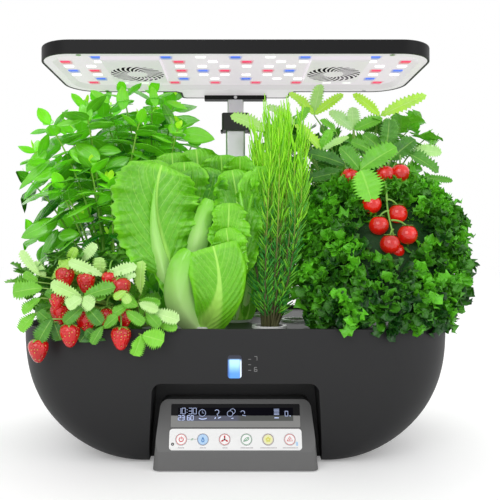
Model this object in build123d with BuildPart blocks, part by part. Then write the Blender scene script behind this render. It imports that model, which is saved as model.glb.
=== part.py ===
from build123d import *
import math
import os

os.makedirs("parts", exist_ok=True)

# Countertop hydroponic garden, in millimetres.
# Frame: +X to the right, +Y to the back, +Z up. The origin is on the table, below the tank's centre.

# ---------------------------------------------------------------- tank and deck
TANK_WIDTH = 410.0  # at the rim
TANK_DEPTH = 255.0
TANK_RIM = 128.5  # height of the rim above the table
TANK_WALL = 3.0
RIM_CORNER = 60.0  # corner radius in plan at the rim
RIM_ROUND = 0.8
SIDE_INSET = 80.0  # how far the flat bottom lies in from the rim at each end
FRONT_INSET = 28.5  # and at the front and back
CORNER_SHRINK = 20.0  # how much smaller the corner radius is at the bottom
BOWL_FLARE = 2.6  # exponents of the bowl's side profile
BOWL_TURN = 0.735
BOWL_STATIONS = (0.0, 0.22, 0.42, 0.6, 0.75, 0.87, 0.95, 1.0)  # shares of the depth
FOOT_HEIGHT = 2.0  # how far the rubber feet stand out below the tank
FOOT_RADIUS = 8.0
FOOT_SEAT = 1.0  # depth of the recess that holds a foot
FOOT_X = 100.0
FOOT_Y = 72.0

LEDGE_WIDTH = 5.0  # ledge inside the rim that carries the deck
LEDGE_THICKNESS = 3.0
DECK_THICKNESS = 3.0
DECK_DROP = 5.0  # deck's upper face below the rim
DECK_GAP = 0.5
SKIRT_HEIGHT = 8.0
SKIRT_WALL = 2.0

POD_PITCH = 66.0
POD_ROW_PITCH = 58.5
POD_FIRST_ROW = -75.0
POD_ROWS = ((-1.5, 4), (-2, 5), (-1.5, 3))  # first place in pitches from the middle, and baskets, row by row
FLANGE_RADIUS = 17.0
FLANGE_THICKNESS = 2.5
CUP_TOP_RADIUS = 15.0
CUP_BOTTOM_RADIUS = 12.0
CUP_DEPTH = 40.0
CUP_WALL = 1.2
CUP_SLOT = 4.0
CUP_SLOT_MARGIN = 6.0  # solid band above and below the slots
POD_GAP = 0.3
SPONGE_DROP = 1.5  # sponge's top below the flange

LID_X = 118.0
LID_Y = 70.0
PORT_RADIUS = 17.0
LID_WIDTH = 46.0
LID_LENGTH = 42.0
LID_THICKNESS = 2.5
LID_CORNER = 5.0
LID_LIFT = 0.3
HINGE_RADIUS = 2.8
HINGE_PIN_RADIUS = 1.5
HINGE_RUN = 0.05  # radial clearance of the lid on its pin
HINGE_SEAT = 0.02  # and of the pin in its lugs
LUG_WIDTH = 5.0
BARREL_WIDTH = 26.0
HINGE_GAP = 0.4

# ---------------------------------------------------------------- level window
WINDOW_X = -0.8
WINDOW_Z = 94.5
WINDOW_WIDTH = 12.6
WINDOW_HEIGHT = 21.0
WINDOW_CORNER = 2.5
WINDOW_FLANGE = 2.0
WINDOW_FLANGE_THICKNESS = 2.0
WINDOW_RECESS = 1.2
WINDOW_GAP = 0.1
PAD_DEPTH = 7.0  # flat seat behind the window, measured in from the rim's front
GASKET_THICKNESS = 1.0
GUIDE_WALL = 1.5
GUIDE_DEPTH = 14.0
GUIDE_RISE = 6.0  # guide's top above the window
FLOAT_WIDTH = 10.6
FLOAT_HEIGHT = 16.5
FLOAT_DEPTH = 9.0
FLOAT_GAP = 0.6
FLOAT_REST = 0.3  # float at its lowest, above the guide's floor

# ---------------------------------------------------------------- console and its pocket
POCKET_SIDE_GAP = 6.0  # console's foot to the pocket's side
POCKET_LEAN = 6.0  # how far each side of the pocket leans in up to its roof
POCKET_TOP = 79.0
POCKET_BACK = 88.0  # distance of its rear wall in front of the tank's centre
POCKET_CORNER = 9.0

CONSOLE_WIDTH = 150.0
CONSOLE_FRONT = 127.0  # distance of its front face in front of the tank's centre
CONSOLE_LIFT = 1.0
CONSOLE_TOP = 61.0
BASE_SCREW_IN = 15.0  # base screws from the console's sides
BASE_SCREW_SETBACK = 20.0  # and from its front
CONSOLE_DRAFT = 5.6  # degrees that its sides lean in
CONSOLE_CORNER = 6.5
CONSOLE_SHOULDER = 8.0
CONSOLE_WALL = 2.5
APRON_HEIGHT = 18.0  # upright lower face
INCLINE = 67.3  # slope of the panel face, degrees above the table
INCLINE_SETBACK = 1.8
PANEL_WALL = 3.2
BASE_THICKNESS = 2.0
BASE_GAP = 0.4
CONSOLE_FOOT_RADIUS = 5.0
CONSOLE_FOOT_SEAT = 1.0
CONSOLE_FOOT_IN = 11.0  # foot's centre from the console's side
CONSOLE_FOOT_EDGE = 10.0  # and from its front and back

GLASS_WIDTH = 118.5
GLASS_HEIGHT = 20.9
GLASS_CENTRE = 31.7  # distances up the incline from its lower edge
GLASS_CORNER = 1.0
STRIP_WIDTH = 120.3
STRIP_HEIGHT = 19.2
STRIP_CENTRE = 10.4
STRIP_CORNER = 3.0
PANEL_SEAT = 1.5  # depth of the seats of the glass and of the key strip
PANEL_GAP = 0.1

KEY_NAMES = ("power", "pump", "fan", "leaf", "flower", "reset")
KEY_PITCH = 19.7
KEY_RADIUS = 5.0
KEY_GAP = 0.3
KEY_PROUD = 0.5
KEY_FLANGE = 1.2
KEY_FLANGE_THICKNESS = 1.2
KEY_TRAVEL = 0.5
KEY_CLEAR = 0.3

BOARD_THICKNESS = 1.6
BOARD_WIDTH = 112.0
BOARD_HEIGHT = 36.0
BOARD_DEPTH = 7.2  # below the panel's outer face
SWITCH_SIZE = 6.0
SWITCH_HEIGHT = 2.4
PLUNGER_RADIUS = 1.7
MODULE_WIDTH = 108.0
MODULE_HEIGHT = 14.0

# ---------------------------------------------------------------- screws
SCREW_RADIUS = 1.4
SCREW_HEAD_RADIUS = 2.6
SCREW_HEAD_HEIGHT = 1.4
BOSS_RADIUS = 3.6
BOSS_X = 50.0  # screws that hold the console to the tank
BOSS_HEIGHTS = (20.0, 46.0)

# ---------------------------------------------------------------- pump
PUMP_X = -66.0
PUMP_Y = 40.0
PUMP_WIDTH = 44.0
PUMP_DEPTH = 38.0
PUMP_HEIGHT = 30.0
PUMP_CORNER = 5.0
CHAMBER_RADIUS = 12.5
CHAMBER_DEPTH = 9.0
CHAMBER_RISE = 1.0  # chamber's axis above the middle of the body
COVER_THICKNESS = 4.0
INTAKE_SLOT = 2.0
INTAKE_PITCH = 5.0
INTAKES = 5
IMPELLER_RADIUS = 10.5
IMPELLER_HUB = 4.0
IMPELLER_BLADES = 6
BLADE_THICKNESS = 1.4
SHAFT_RADIUS = 1.5
SHAFT_RUN = 0.05
TUBE_RADIUS = 5.0
TUBE_BORE = 3.5
NOZZLE_HEIGHT = 6.0
NOZZLE_GAP = 0.05

# ---------------------------------------------------------------- pole
POLE_Y = 76.0
OUTER_WIDTH = 23.4
OUTER_DEPTH = 14.6
INNER_WIDTH = 19.6
INNER_DEPTH = 10.8
POLE_CORNER = 3.0
POLE_WALL = 1.6
POLE_BOTTOM = 92.0
INNER_BOTTOM = 165.0
SOCKET_WIDTH = 58.0
SOCKET_DEPTH = 32.0
SOCKET_HEIGHT = 26.0
SOCKET_CORNER = 6.0
SOCKET_DRAFT = 4.0
COLLAR_WIDTH = 33.0
COLLAR_DEPTH = 24.0
COLLAR_BOTTOM = 343.0
COLLAR_TOP = 364.0
COLLAR_CORNER = 4.0
COLLAR_LIP = 8.0  # part of the collar above the outer tube
SLIDE_GAP = 0.3
POLE_SEAT = 0.05
PAD_THICKNESS = 2.0
PAD_GAP = 0.05
SOCKET_SCREW_X = 22.0  # screws from the pole axis, across
SOCKET_SCREW_Y = 11.0  # and from front to back
SOCKET_SCREW_DEPTH = 5.0
JACK_RADIUS = 5.5
JACK_LENGTH = 12.0
JACK_BORE = 3.1
JACK_PIN = 1.0
JACK_HEIGHT = 12.0
JACK_X = 20.0
JACK_INSET = 1.0
INNER_WALL = 1.4
INNER_CORNER = 2.2
PAD_WIDTH = 12.0
STOP_RADIUS = 1.6
COLLAR_SCREW_Z = 349.0

# ---------------------------------------------------------------- lamp
LAMP_WIDTH = 385.0
LAMP_DEPTH = 150.0
LAMP_Y = -21.5
LAMP_BOTTOM = 385.5
LAMP_TOP = 399.0
LAMP_CORNER = 35.0
LAMP_WALL = 2.0
LAMP_ROUND = 1.2
TAB_WIDTH = 130.0
TAB_ROOT = 20.0  # how far the tab starts inside the rear edge
TAB_REACH = 31.0  # behind the lamp's rear edge
TAB_CORNER = 6.0
TAB_FLARE = 6.0  # widening where the tab meets the lamp
BEZEL_BORDER = 8.0
BEZEL_SLOPE = 5.0  # width of the sloping reflector wall
BEZEL_RISE = 0.4  # bezel's border above the lamp's lower edge
BEZEL_THICKNESS = 1.5
BEZEL_GAP = 0.2
BEZEL_SCREW_IN = 42.5  # bezel screws from the lamp's ends
BEZEL_SCREW_EDGE = 6.0  # and from its long edges
BOARD_RECESS = 4.9  # LED board's lower face above the lamp's lower edge
LED_BOARD_THICKNESS = 1.2
LED_END = 20.0  # middle of the last LED column from the lamp's ends
LED_ROW_PITCH = 16.0
LED_WIDTH = 9.2
LED_DEPTH = 3.0
LED_HEIGHT = 1.0
BLUE_LEDS = ((-12, -3), (-6, -3), (0, -3), (6, -3), (12, -3), (-15, 0), (-3, 0), (5, 0), (15, 0),
             (-13, 2), (-5, 2), (1, 2), (13, 2))
RED_LEDS = ((-15, -2), (-5, -2), (1, -2), (15, -2), (-13, 0), (-5, 0), (-1, 0), (3, 0), (13, 0),
            (-14, 3), (-6, 3), (-2, 3), (2, 3), (6, 3), (14, 3))
LED_COLUMNS = 15  # columns each side of the middle one
LED_ROWS = 3
FAN_COLUMN = 9  # LED column that each fan stands in
FAN_SHIFT = 0.5  # and how far out from its middle
FAN_PAD_WIDTH = 58.0
FAN_PAD_EDGE = 8.0  # from the tray's front wall to the fan pads
FAN_PAD_BACK = 33.0
PAD_SLOT_WIDTH = 53.0
PAD_SLOT = 1.6
GRILLE_RADIUS = 28.0
GRILLE_HUB = 10.5
GRILLE_SLOTS = 22
GRILLE_TWIST = 32.0  # degrees that a slot turns from the hub to the rim
GRILLE_OPEN = 0.6  # share of the ring that is open
FAN_SIZE = 50.0
FAN_BORE = 23.5
FAN_HEIGHT = 8.0
ROTOR_RADIUS = 22.5
ROTOR_HUB = 9.0
ROTOR_HEIGHT = 6.0
ROTOR_BLADES = 7
STRUT_WIDTH = 3.0
VENT_SLOTS = 7
VENT_PITCH = 6.0
VENT_WIDTH = 2.4
VENT_LENGTH = 36.0
BRACKET_WIDTH = 75.0
BRACKET_DEPTH = 12.0
BRACKET_THICKNESS = 5.0
BRACKET_SCREW_HEAD = 2.0
BOARD_GAP = 0.3
PAD_WALL = 1.2
MOTOR_PLATE = 1.2
SPINDLE_RADIUS = 1.2
SPINDLE_LENGTH = 5.0
ROTOR_CLEAR = 0.4
BLADE_CHORD = 9.0
BLADE_PITCH = 30.0

# ---------------------------------------------------------------- fruit and foliage
LEAF_GAP = 0.5
STEM_RADIUS = 5.0
STEM_GAP = 0.3
BERRY_RADIUS = 9.0
BERRY_LENGTH = 21.0
BERRY_PLACES = ((-174.0, -137.0, 110.5), (-146.0, -137.0, 124.0), (-101.0, -137.0, 121.5))
PEDICEL_RADIUS = 1.2
BERRY_PROFILE = ((0, -1), (0.35, -0.92), (0.8, -0.25), (1, 0.35), (0.85, 0.8), (0.4, 1), (0, 1))
PEDICEL_TIPS = ((-152.0, -116.0, 142.0), (-144.0, -122.0, 152.0), (-104.0, -122.0, 150.0))
TOMATO_RADIUS = 9.4
TOMATO_PLACES = ((132.5, -80.0, 244.0), (156.5, -84.0, 234.5), (137.0, -90.0, 223.0),
                 (162.5, -97.0, 214.0), (144.5, -103.0, 205.0))
TOMATO_PROFILE = ((0, -1), (0.5, -0.87), (0.87, -0.5), (1, 0), (0.87, 0.5), (0.5, 0.87), (0, 0.8))
TRUSS_RADIUS = 2.0
STALK_SIDES = 6
TRUSS_POINTS = ((148.0, -22.0, 286.0), (147.0, -70.0, 280.0), (146.0, -84.0, 246.0), (151.0, -102.0, 205.0))
BRANCH_RISE = 7.0  # how far above a tomato its branch leaves the truss
FOLIAGE_CORNER = 0.42  # corner radius as a share of a section's shorter side
FOLIAGE_CHORDS = 3  # flat sides that stand for a rounded corner

# Each foliage station is a height and the limits left, right, front and back.
BASIL = ((168, -196, -104, -22, 84), (205, -226, -62, -24, 118), (250, -235, -46, -26, 140),
         (300, -234, -44, -26, 146), (340, -222, -46, -24, 140), (364, -196, -52, -18, 110),
         (379, -160, -76, -8, 40))
STRAWBERRY = ((130.5, -186, -68, -136, -34), (150, -206, -76, -140, -32), (172, -214, -88, -138, -32),
              (188, -212, -104, -126, -34), (199, -196, -128, -108, -44))
ROMAINE = ((127, -46, -22, -90, -62), (155, -68, -4, -102, -44), (188, -84, 4, -114, -34),
           (228, -112, 5, -122, -31), (262, -112, 5, -122, -31), (288, -98, 2, -112, -36),
           (300, -70, -14, -92, -52))
LEAF_LETTUCE = ((127, -12, 12, -26, -6), (160, -26, 27, -27, 8), (225, -38, 32, -27, 24),
                (288, -40, 32, -27, 28), (307, -26, 20, -20, 16))
ROSEMARY = ((127, 24, 44, -86, -64), (165, 10, 54, -98, -50), (230, 8, 60, -106, -42),
            (290, 8, 68, -106, -42), (334, 22, 66, -92, -56))
PARSLEY = ((130.5, 74, 196, -138, -34), (155, 62, 222, -138, -32), (190, 62, 229, -112, -31),
           (225, 66, 228, -92, -31), (252, 84, 208, -76, -32), (269, 112, 178, -62, -38))
TOMATO = ((205, 96, 200, -24, 66), (245, 70, 230, -26, 110), (290, 46, 235, -27, 128),
          (332, 32, 235, -27, 128), (362, 30, 222, -26, 96), (379, 52, 190, -20, 40))

# ---------------------------------------------------------------- derived values
TANK_FLOOR = FOOT_HEIGHT + TANK_WALL
DECK_TOP = TANK_RIM - DECK_DROP
LEDGE_TOP = DECK_TOP - DECK_THICKNESS
POD_HOLE_RADIUS = CUP_TOP_RADIUS + POD_GAP
FLANGE_TOP = DECK_TOP + FLANGE_THICKNESS
CUP_BOTTOM = DECK_TOP - CUP_DEPTH
SPONGE_TOP = FLANGE_TOP - SPONGE_DROP
HINGE_Y = LID_Y + LID_LENGTH / 2 + HINGE_RADIUS
HINGE_Z = DECK_TOP + LID_LIFT + HINGE_RADIUS
WINDOW_SEAT_Y = -TANK_DEPTH / 2 + PAD_DEPTH
WINDOW_FRONT_Y = -TANK_DEPTH / 2 + WINDOW_RECESS
GASKET_BACK_Y = WINDOW_SEAT_Y + GASKET_THICKNESS
FLANGE_BACK_Y = GASKET_BACK_Y + WINDOW_FLANGE_THICKNESS
PUMP_AXIS_Z = TANK_FLOOR + PUMP_HEIGHT / 2 + CHAMBER_RISE
PUMP_FRONT_Y = PUMP_Y - PUMP_DEPTH / 2
TUBE_BOTTOM = TANK_FLOOR + PUMP_HEIGHT
TUBE_TOP = LEDGE_TOP
OUTER_TOP = COLLAR_TOP - COLLAR_LIP
LAMP_REAR = LAMP_Y + LAMP_DEPTH / 2
LED_FACE = LAMP_BOTTOM + BOARD_RECESS
LED_COLUMN_PITCH = (LAMP_WIDTH / 2 - LED_END) / LED_COLUMNS
FAN_X = FAN_COLUMN * LED_COLUMN_PITCH + FAN_SHIFT
FAN_PAD_FRONT = LAMP_DEPTH / 2 - LAMP_WALL - BEZEL_BORDER - BEZEL_SLOPE - FAN_PAD_EDGE
BEZEL_FACE = LAMP_BOTTOM + BEZEL_RISE
BEZEL_BACK = BEZEL_FACE + BEZEL_THICKNESS
BRACKET_BOTTOM = BEZEL_FACE - BRACKET_THICKNESS
FAN_TOP = LAMP_TOP - LAMP_WALL
TRAY_TOP = LED_FACE + LED_BOARD_THICKNESS + BEZEL_THICKNESS

# ---------------------------------------------------------------- shared shapes


def pod_places():
    """Plan positions of the baskets, row by row."""
    places = []
    for row, (first, count) in enumerate(POD_ROWS):
        y = POD_FIRST_ROW + row * POD_ROW_PITCH
        for pod in range(count):
            places.append(((first + pod) * POD_PITCH, y))
    return places


def bowl_section(share, inset):
    """Width, depth and corner radius of the bowl at a share of its depth, moved in by inset."""
    turn = 1 - (1 - share**BOWL_FLARE) ** BOWL_TURN
    return (
        TANK_WIDTH - 2 * inset - 2 * SIDE_INSET * turn,
        TANK_DEPTH - 2 * inset - 2 * FRONT_INSET * turn,
        RIM_CORNER - inset - CORNER_SHRINK * turn,
    )


def bowl_at(height, inset):
    """The same at a height above the table."""
    return bowl_section((TANK_RIM - height) / (TANK_RIM - FOOT_HEIGHT), inset)


def bowl(inset, floor):
    """Solid bowl from its floor up to the rim, with its sides moved in by inset."""
    with BuildPart() as body:
        for share in BOWL_STATIONS:
            with BuildSketch(Plane.XY.offset(TANK_RIM - share * (TANK_RIM - floor))):
                RectangleRounded(*bowl_section(share, inset))
        loft()
    return body.part


def console_pocket(margin):
    """Space of the console pocket, grown by margin, open at the front and below."""
    foot = CONSOLE_WIDTH / 2 + POCKET_SIDE_GAP + margin
    top = foot - POCKET_LEAN
    with BuildPart() as pocket:
        with BuildSketch(Plane.XZ.offset(POCKET_BACK - margin)) as outline:
            with BuildLine():
                roof = POCKET_TOP + margin
                Polyline((-foot, 0), (-top, roof), (top, roof), (foot, 0), close=True)
            make_face()
            fillet(outline.vertices().group_by(Axis.Y)[-1], POCKET_CORNER + margin)
        extrude(amount=TANK_DEPTH / 2)
    return pocket.part


def incline_plane(depth=0.0):
    """Plane of the console's panel face, depth below it; its origin is on the face's lower edge."""
    slope = math.radians(INCLINE)
    normal = Vector(0, -math.sin(slope), math.cos(slope))
    edge = Vector(0, -CONSOLE_FRONT + INCLINE_SETBACK, APRON_HEIGHT)
    return Plane(origin=edge - normal * depth, x_dir=(1, 0, 0), z_dir=normal)


def console_block(inset, roof):
    """Console wedge with its sides moved in by inset and its panel face by roof."""
    top = CONSOLE_TOP - inset
    half_depth = CONSOLE_FRONT - POCKET_BACK
    with BuildPart() as block:
        with BuildSketch(Plane.XY.offset(CONSOLE_LIFT)):
            with Locations((0, -POCKET_BACK)):
                RectangleRounded(CONSOLE_WIDTH - 2 * inset, 2 * (half_depth - inset), CONSOLE_CORNER - inset)
        extrude(amount=top - CONSOLE_LIFT, taper=CONSOLE_DRAFT)
        split(bisect_by=Plane.XZ.offset(POCKET_BACK + inset), keep=Keep.TOP)
        split(bisect_by=incline_plane(roof), keep=Keep.BOTTOM)
        shoulders = block.edges().filter_by(Axis.Y).group_by(Axis.Z)[-1]
        fillet(shoulders, CONSOLE_SHOULDER - inset)
    return block.part


def crown_section(left, right, front, back):
    """Corner points of a rectangle whose corners are cut round by chords at fixed angles."""
    cut = FOLIAGE_CORNER * min(right - left, back - front)
    west, east, south, north = left + cut, right - cut, front + cut, back - cut
    centres = ((east, north), (west, north), (west, south), (east, south))
    points = []
    for quarter, (x, y) in enumerate(centres):
        for chord in range(FOLIAGE_CHORDS + 1):
            angle = math.radians(90 * (quarter + chord / FOLIAGE_CHORDS))
            points.append((x + cut * math.cos(angle), y + cut * math.sin(angle)))
    return points


def crown(stations):
    """Closed foliage solid through level sections; like sides are parallel, so that every face is flat."""
    with BuildPart() as body:
        for height, *limits in stations:
            with BuildSketch(Plane.XY.offset(height)):
                with BuildLine():
                    Polyline(*crown_section(*limits), close=True)
                make_face()
        loft(ruled=True)
    return body.part


def stem(x, y, top, radius):
    """Upright stem from just above the sponge at x, y into the foliage."""
    with BuildPart() as body:
        with BuildSketch(Plane.XY.offset(SPONGE_TOP + STEM_GAP)):
            with Locations((x, y)):
                Circle(radius)
        extrude(amount=top - SPONGE_TOP - STEM_GAP)
    return body.part


def fruit_body(centre, radius, half, profile):
    """Round fruit about an upright axis; the profile gives shares of its radius and half height."""
    with BuildPart() as fruit:
        with BuildSketch(Plane(centre, x_dir=(1, 0, 0), z_dir=(0, -1, 0))):
            with BuildLine():
                Polyline([(radius * out, half * up) for out, up in profile], close=True)
            make_face()
        revolve(axis=Axis(centre, (0, 0, 1)))
    return fruit.part


def rod(start, end, radius):
    """Six-sided rod between two points, longer by its radius at each end."""
    start, end = Vector(start), Vector(end)
    along = (end - start).normalized()
    with BuildPart() as body:
        with BuildSketch(Plane(origin=start - along * radius, z_dir=along)):
            RegularPolygon(radius, STALK_SIDES)
        extrude(amount=(end - start).length + 2 * radius)
    return body.part


def berry(centre, tip, growth=0.0):
    """Berry on a thin stalk that ends at tip, inside the foliage, grown by growth."""
    radius, half = BERRY_RADIUS + growth, BERRY_LENGTH / 2 + growth
    shoulder = Vector(centre) + Vector(0, 0, half - radius / 2)
    return fruit_body(centre, radius, half, BERRY_PROFILE) + rod(shoulder, tip, PEDICEL_RADIUS + growth)


def truss_at(height):
    """Point of the truss at a height."""
    for start, end in zip(TRUSS_POINTS, TRUSS_POINTS[1:]):
        if end[2] <= height <= start[2]:
            share = (start[2] - height) / (start[2] - end[2])
            return Vector(start) + (Vector(end) - Vector(start)) * share
    return Vector(TRUSS_POINTS[-1])


def tomato_cluster(growth=0.0):
    """Cherry tomatoes on their truss, grown by growth."""
    with BuildPart() as cluster:
        for start, end in zip(TRUSS_POINTS, TRUSS_POINTS[1:]):
            add(rod(start, end, TRUSS_RADIUS + growth))
        for place in TOMATO_PLACES:
            add(rod(truss_at(place[2] + BRANCH_RISE), place, TRUSS_RADIUS / 2 + growth))
            add(fruit_body(place, TOMATO_RADIUS + growth, TOMATO_RADIUS + growth, TOMATO_PROFILE))
    return cluster.part


# ---------------------------------------------------------------- tank
with BuildPart() as cavity:
    add(bowl(TANK_WALL, TANK_FLOOR))
    add(console_pocket(TANK_WALL), mode=Mode.SUBTRACT)

feet_places = [(x, y) for x in (-FOOT_X, FOOT_X) for y in (-FOOT_Y, FOOT_Y)]
console_foot_x = CONSOLE_WIDTH / 2 - CONSOLE_FOOT_IN
console_feet_rows = (-CONSOLE_FRONT + CONSOLE_FOOT_EDGE, -POCKET_BACK - CONSOLE_FOOT_EDGE)
console_feet_places = [(x, y) for x in (-console_foot_x, console_foot_x) for y in console_feet_rows]
bezel_screw_x = LAMP_WIDTH / 2 - BEZEL_SCREW_IN
bezel_screw_y = LAMP_DEPTH / 2 - BEZEL_SCREW_EDGE
bezel_screw_rows = (LAMP_Y - bezel_screw_y, LAMP_Y + bezel_screw_y)
bezel_screw_places = [(x, y) for x in (-bezel_screw_x, bezel_screw_x) for y in bezel_screw_rows]
boss_places = [(x, z) for x in (-BOSS_X, BOSS_X) for z in BOSS_HEIGHTS]

with BuildPart() as water_tank:
    add(bowl(0, FOOT_HEIGHT))
    fillet(water_tank.edges().group_by(Axis.Z)[-1], RIM_ROUND)
    add(console_pocket(0), mode=Mode.SUBTRACT)
    add(cavity.part, mode=Mode.SUBTRACT)
    with BuildSketch(Plane.XY.offset(LEDGE_TOP)):
        RectangleRounded(*bowl_at(LEDGE_TOP, TANK_WALL / 2))
        RectangleRounded(*bowl_at(LEDGE_TOP, TANK_WALL + LEDGE_WIDTH), mode=Mode.SUBTRACT)
    extrude(amount=-LEDGE_THICKNESS)
    # flat seat behind the level window
    with BuildSketch(Plane.XZ.offset(-WINDOW_SEAT_Y)):
        with Locations((WINDOW_X, WINDOW_Z)):
            Rectangle(WINDOW_WIDTH + 12, WINDOW_HEIGHT + 4)
    extrude(amount=PAD_DEPTH - TANK_WALL / 2 - 0.5)
    with BuildSketch(Plane.XZ.offset(TANK_DEPTH / 2)):
        with Locations((WINDOW_X, WINDOW_Z)):
            RectangleRounded(WINDOW_WIDTH, WINDOW_HEIGHT, WINDOW_CORNER)
    extrude(amount=-PAD_DEPTH, mode=Mode.SUBTRACT)
    # blind bosses for the console's screws
    with BuildSketch(Plane.XZ.offset(POCKET_BACK - TANK_WALL)):
        with Locations(*boss_places):
            Circle(BOSS_RADIUS)
    extrude(amount=-5)
    with BuildSketch(Plane.XZ.offset(POCKET_BACK)):
        with Locations(*boss_places):
            Circle(SCREW_RADIUS)
    extrude(amount=-6, mode=Mode.SUBTRACT)
    with BuildSketch(Plane.XY.offset(FOOT_HEIGHT)):
        with Locations(*feet_places):
            Circle(FOOT_RADIUS)
    extrude(amount=FOOT_SEAT, mode=Mode.SUBTRACT)
water_tank.part.label = "water_tank"
export_step(water_tank.part, "parts/water_tank.step")

with BuildPart() as tank_feet:
    with BuildSketch():
        with Locations(*feet_places):
            Circle(FOOT_RADIUS)
    extrude(amount=FOOT_HEIGHT + FOOT_SEAT)
    chamfer(tank_feet.edges().group_by(Axis.Z)[0], 0.6)
tank_feet.part.label = "tank_feet"
export_step(tank_feet.part, "parts/tank_feet.step")

# ---------------------------------------------------------------- level window and float
with BuildPart() as tank_window:
    with BuildSketch(Plane.XZ.offset(-FLANGE_BACK_Y)):
        with Locations((WINDOW_X, WINDOW_Z)):
            RectangleRounded(
                WINDOW_WIDTH + 2 * WINDOW_FLANGE, WINDOW_HEIGHT + 2 * WINDOW_FLANGE, WINDOW_CORNER)
    extrude(amount=WINDOW_FLANGE_THICKNESS)
    with BuildSketch(Plane.XZ.offset(-GASKET_BACK_Y)):
        with Locations((WINDOW_X, WINDOW_Z)):
            RectangleRounded(WINDOW_WIDTH - 2 * WINDOW_GAP, WINDOW_HEIGHT - 2 * WINDOW_GAP, WINDOW_CORNER)
    extrude(amount=GASKET_BACK_Y - WINDOW_FRONT_Y)
tank_window.part.label = "tank_window"
export_step(tank_window.part, "parts/tank_window.step")

with BuildPart() as window_gasket:
    with BuildSketch(Plane.XZ.offset(-GASKET_BACK_Y)):
        with Locations((WINDOW_X, WINDOW_Z)):
            RectangleRounded(
                WINDOW_WIDTH + 2 * WINDOW_FLANGE, WINDOW_HEIGHT + 2 * WINDOW_FLANGE, WINDOW_CORNER)
            RectangleRounded(WINDOW_WIDTH, WINDOW_HEIGHT, WINDOW_CORNER, mode=Mode.SUBTRACT)
    extrude(amount=GASKET_THICKNESS)
window_gasket.part.label = "window_gasket"
export_step(window_gasket.part, "parts/window_gasket.step")

guide_floor = WINDOW_Z - WINDOW_HEIGHT / 2 - WINDOW_FLANGE
guide_top = WINDOW_Z + WINDOW_HEIGHT / 2 + GUIDE_RISE
guide_inner = FLOAT_WIDTH + 2 * FLOAT_GAP
with BuildPart() as float_guide:
    with BuildSketch(Plane.XY.offset(guide_floor)):
        with Locations((WINDOW_X, FLANGE_BACK_Y + GUIDE_DEPTH / 2)):
            Rectangle(guide_inner + 2 * GUIDE_WALL, GUIDE_DEPTH)
    extrude(amount=guide_top - guide_floor)
    with BuildSketch(Plane.XY.offset(guide_floor + GUIDE_WALL)):
        with Locations((WINDOW_X, FLANGE_BACK_Y + (GUIDE_DEPTH - GUIDE_WALL) / 2)):
            Rectangle(guide_inner, GUIDE_DEPTH - GUIDE_WALL)
    extrude(amount=guide_top - guide_floor - 2 * GUIDE_WALL, mode=Mode.SUBTRACT)
    # slots that let the water in at the back
    with BuildSketch(Plane.XZ.offset(-FLANGE_BACK_Y - GUIDE_DEPTH)):
        with Locations((WINDOW_X, (guide_floor + guide_top) / 2)):
            with GridLocations(0, 8, 1, 3):
                SlotOverall(guide_inner - 3, 3)
    extrude(amount=GUIDE_WALL, mode=Mode.SUBTRACT)
float_guide.part.label = "float_guide"
export_step(float_guide.part, "parts/float_guide.step")

with BuildPart() as level_float:
    with BuildSketch(Plane.XY.offset(guide_floor + GUIDE_WALL + FLOAT_REST)):
        with Locations((WINDOW_X, FLANGE_BACK_Y + FLOAT_GAP + FLOAT_DEPTH / 2)):
            RectangleRounded(FLOAT_WIDTH, FLOAT_DEPTH, 2)
    extrude(amount=FLOAT_HEIGHT)
level_float.part.label = "level_float"
export_step(level_float.part, "parts/level_float.step")

# ---------------------------------------------------------------- deck, baskets, sponges
socket_screw_places = [
    (x, POLE_Y + y) for x in (-SOCKET_SCREW_X, SOCKET_SCREW_X) for y in (-SOCKET_SCREW_Y, SOCKET_SCREW_Y)]

with BuildPart() as grow_deck:
    with BuildSketch(Plane.XY.offset(LEDGE_TOP)):
        RectangleRounded(*bowl_at(LEDGE_TOP, TANK_WALL + DECK_GAP))
        with Locations(*pod_places()):
            Circle(POD_HOLE_RADIUS, mode=Mode.SUBTRACT)
        with Locations((LID_X, LID_Y)):
            Circle(PORT_RADIUS, mode=Mode.SUBTRACT)
        with Locations((0, POLE_Y)):
            RectangleRounded(OUTER_WIDTH + 1, OUTER_DEPTH + 1, POLE_CORNER, mode=Mode.SUBTRACT)
        with Locations(*socket_screw_places):
            Circle(SCREW_RADIUS, mode=Mode.SUBTRACT)
    extrude(amount=DECK_THICKNESS)
    with BuildSketch(Plane.XY.offset(LEDGE_TOP)):
        skirt = TANK_WALL + LEDGE_WIDTH + DECK_GAP
        RectangleRounded(*bowl_at(LEDGE_TOP, skirt))
        RectangleRounded(*bowl_at(LEDGE_TOP, skirt + SKIRT_WALL), mode=Mode.SUBTRACT)
    extrude(amount=-SKIRT_HEIGHT)
    # spigot that takes the pump's tube
    with BuildSketch(Plane.XY.offset(LEDGE_TOP)):
        with Locations((PUMP_X, PUMP_Y)):
            Circle(TUBE_BORE - NOZZLE_GAP)
    extrude(amount=-NOZZLE_HEIGHT)
    # hinge lugs of the filling lid
    for side in (-1, 1):
        lug_x = LID_X + side * (BARREL_WIDTH / 2 + HINGE_GAP + LUG_WIDTH / 2)
        with BuildSketch(Plane.YZ.offset(lug_x)):
            with Locations((HINGE_Y, HINGE_Z)):
                Circle(HINGE_RADIUS)
            with Locations((HINGE_Y, (HINGE_Z + DECK_TOP) / 2)):
                Rectangle(2 * HINGE_RADIUS, HINGE_Z - DECK_TOP)
            with Locations((HINGE_Y, HINGE_Z)):
                Circle(HINGE_PIN_RADIUS + HINGE_SEAT, mode=Mode.SUBTRACT)
        extrude(amount=LUG_WIDTH / 2, both=True)
grow_deck.part.label = "grow_deck"
export_step(grow_deck.part, "parts/grow_deck.step")

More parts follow.
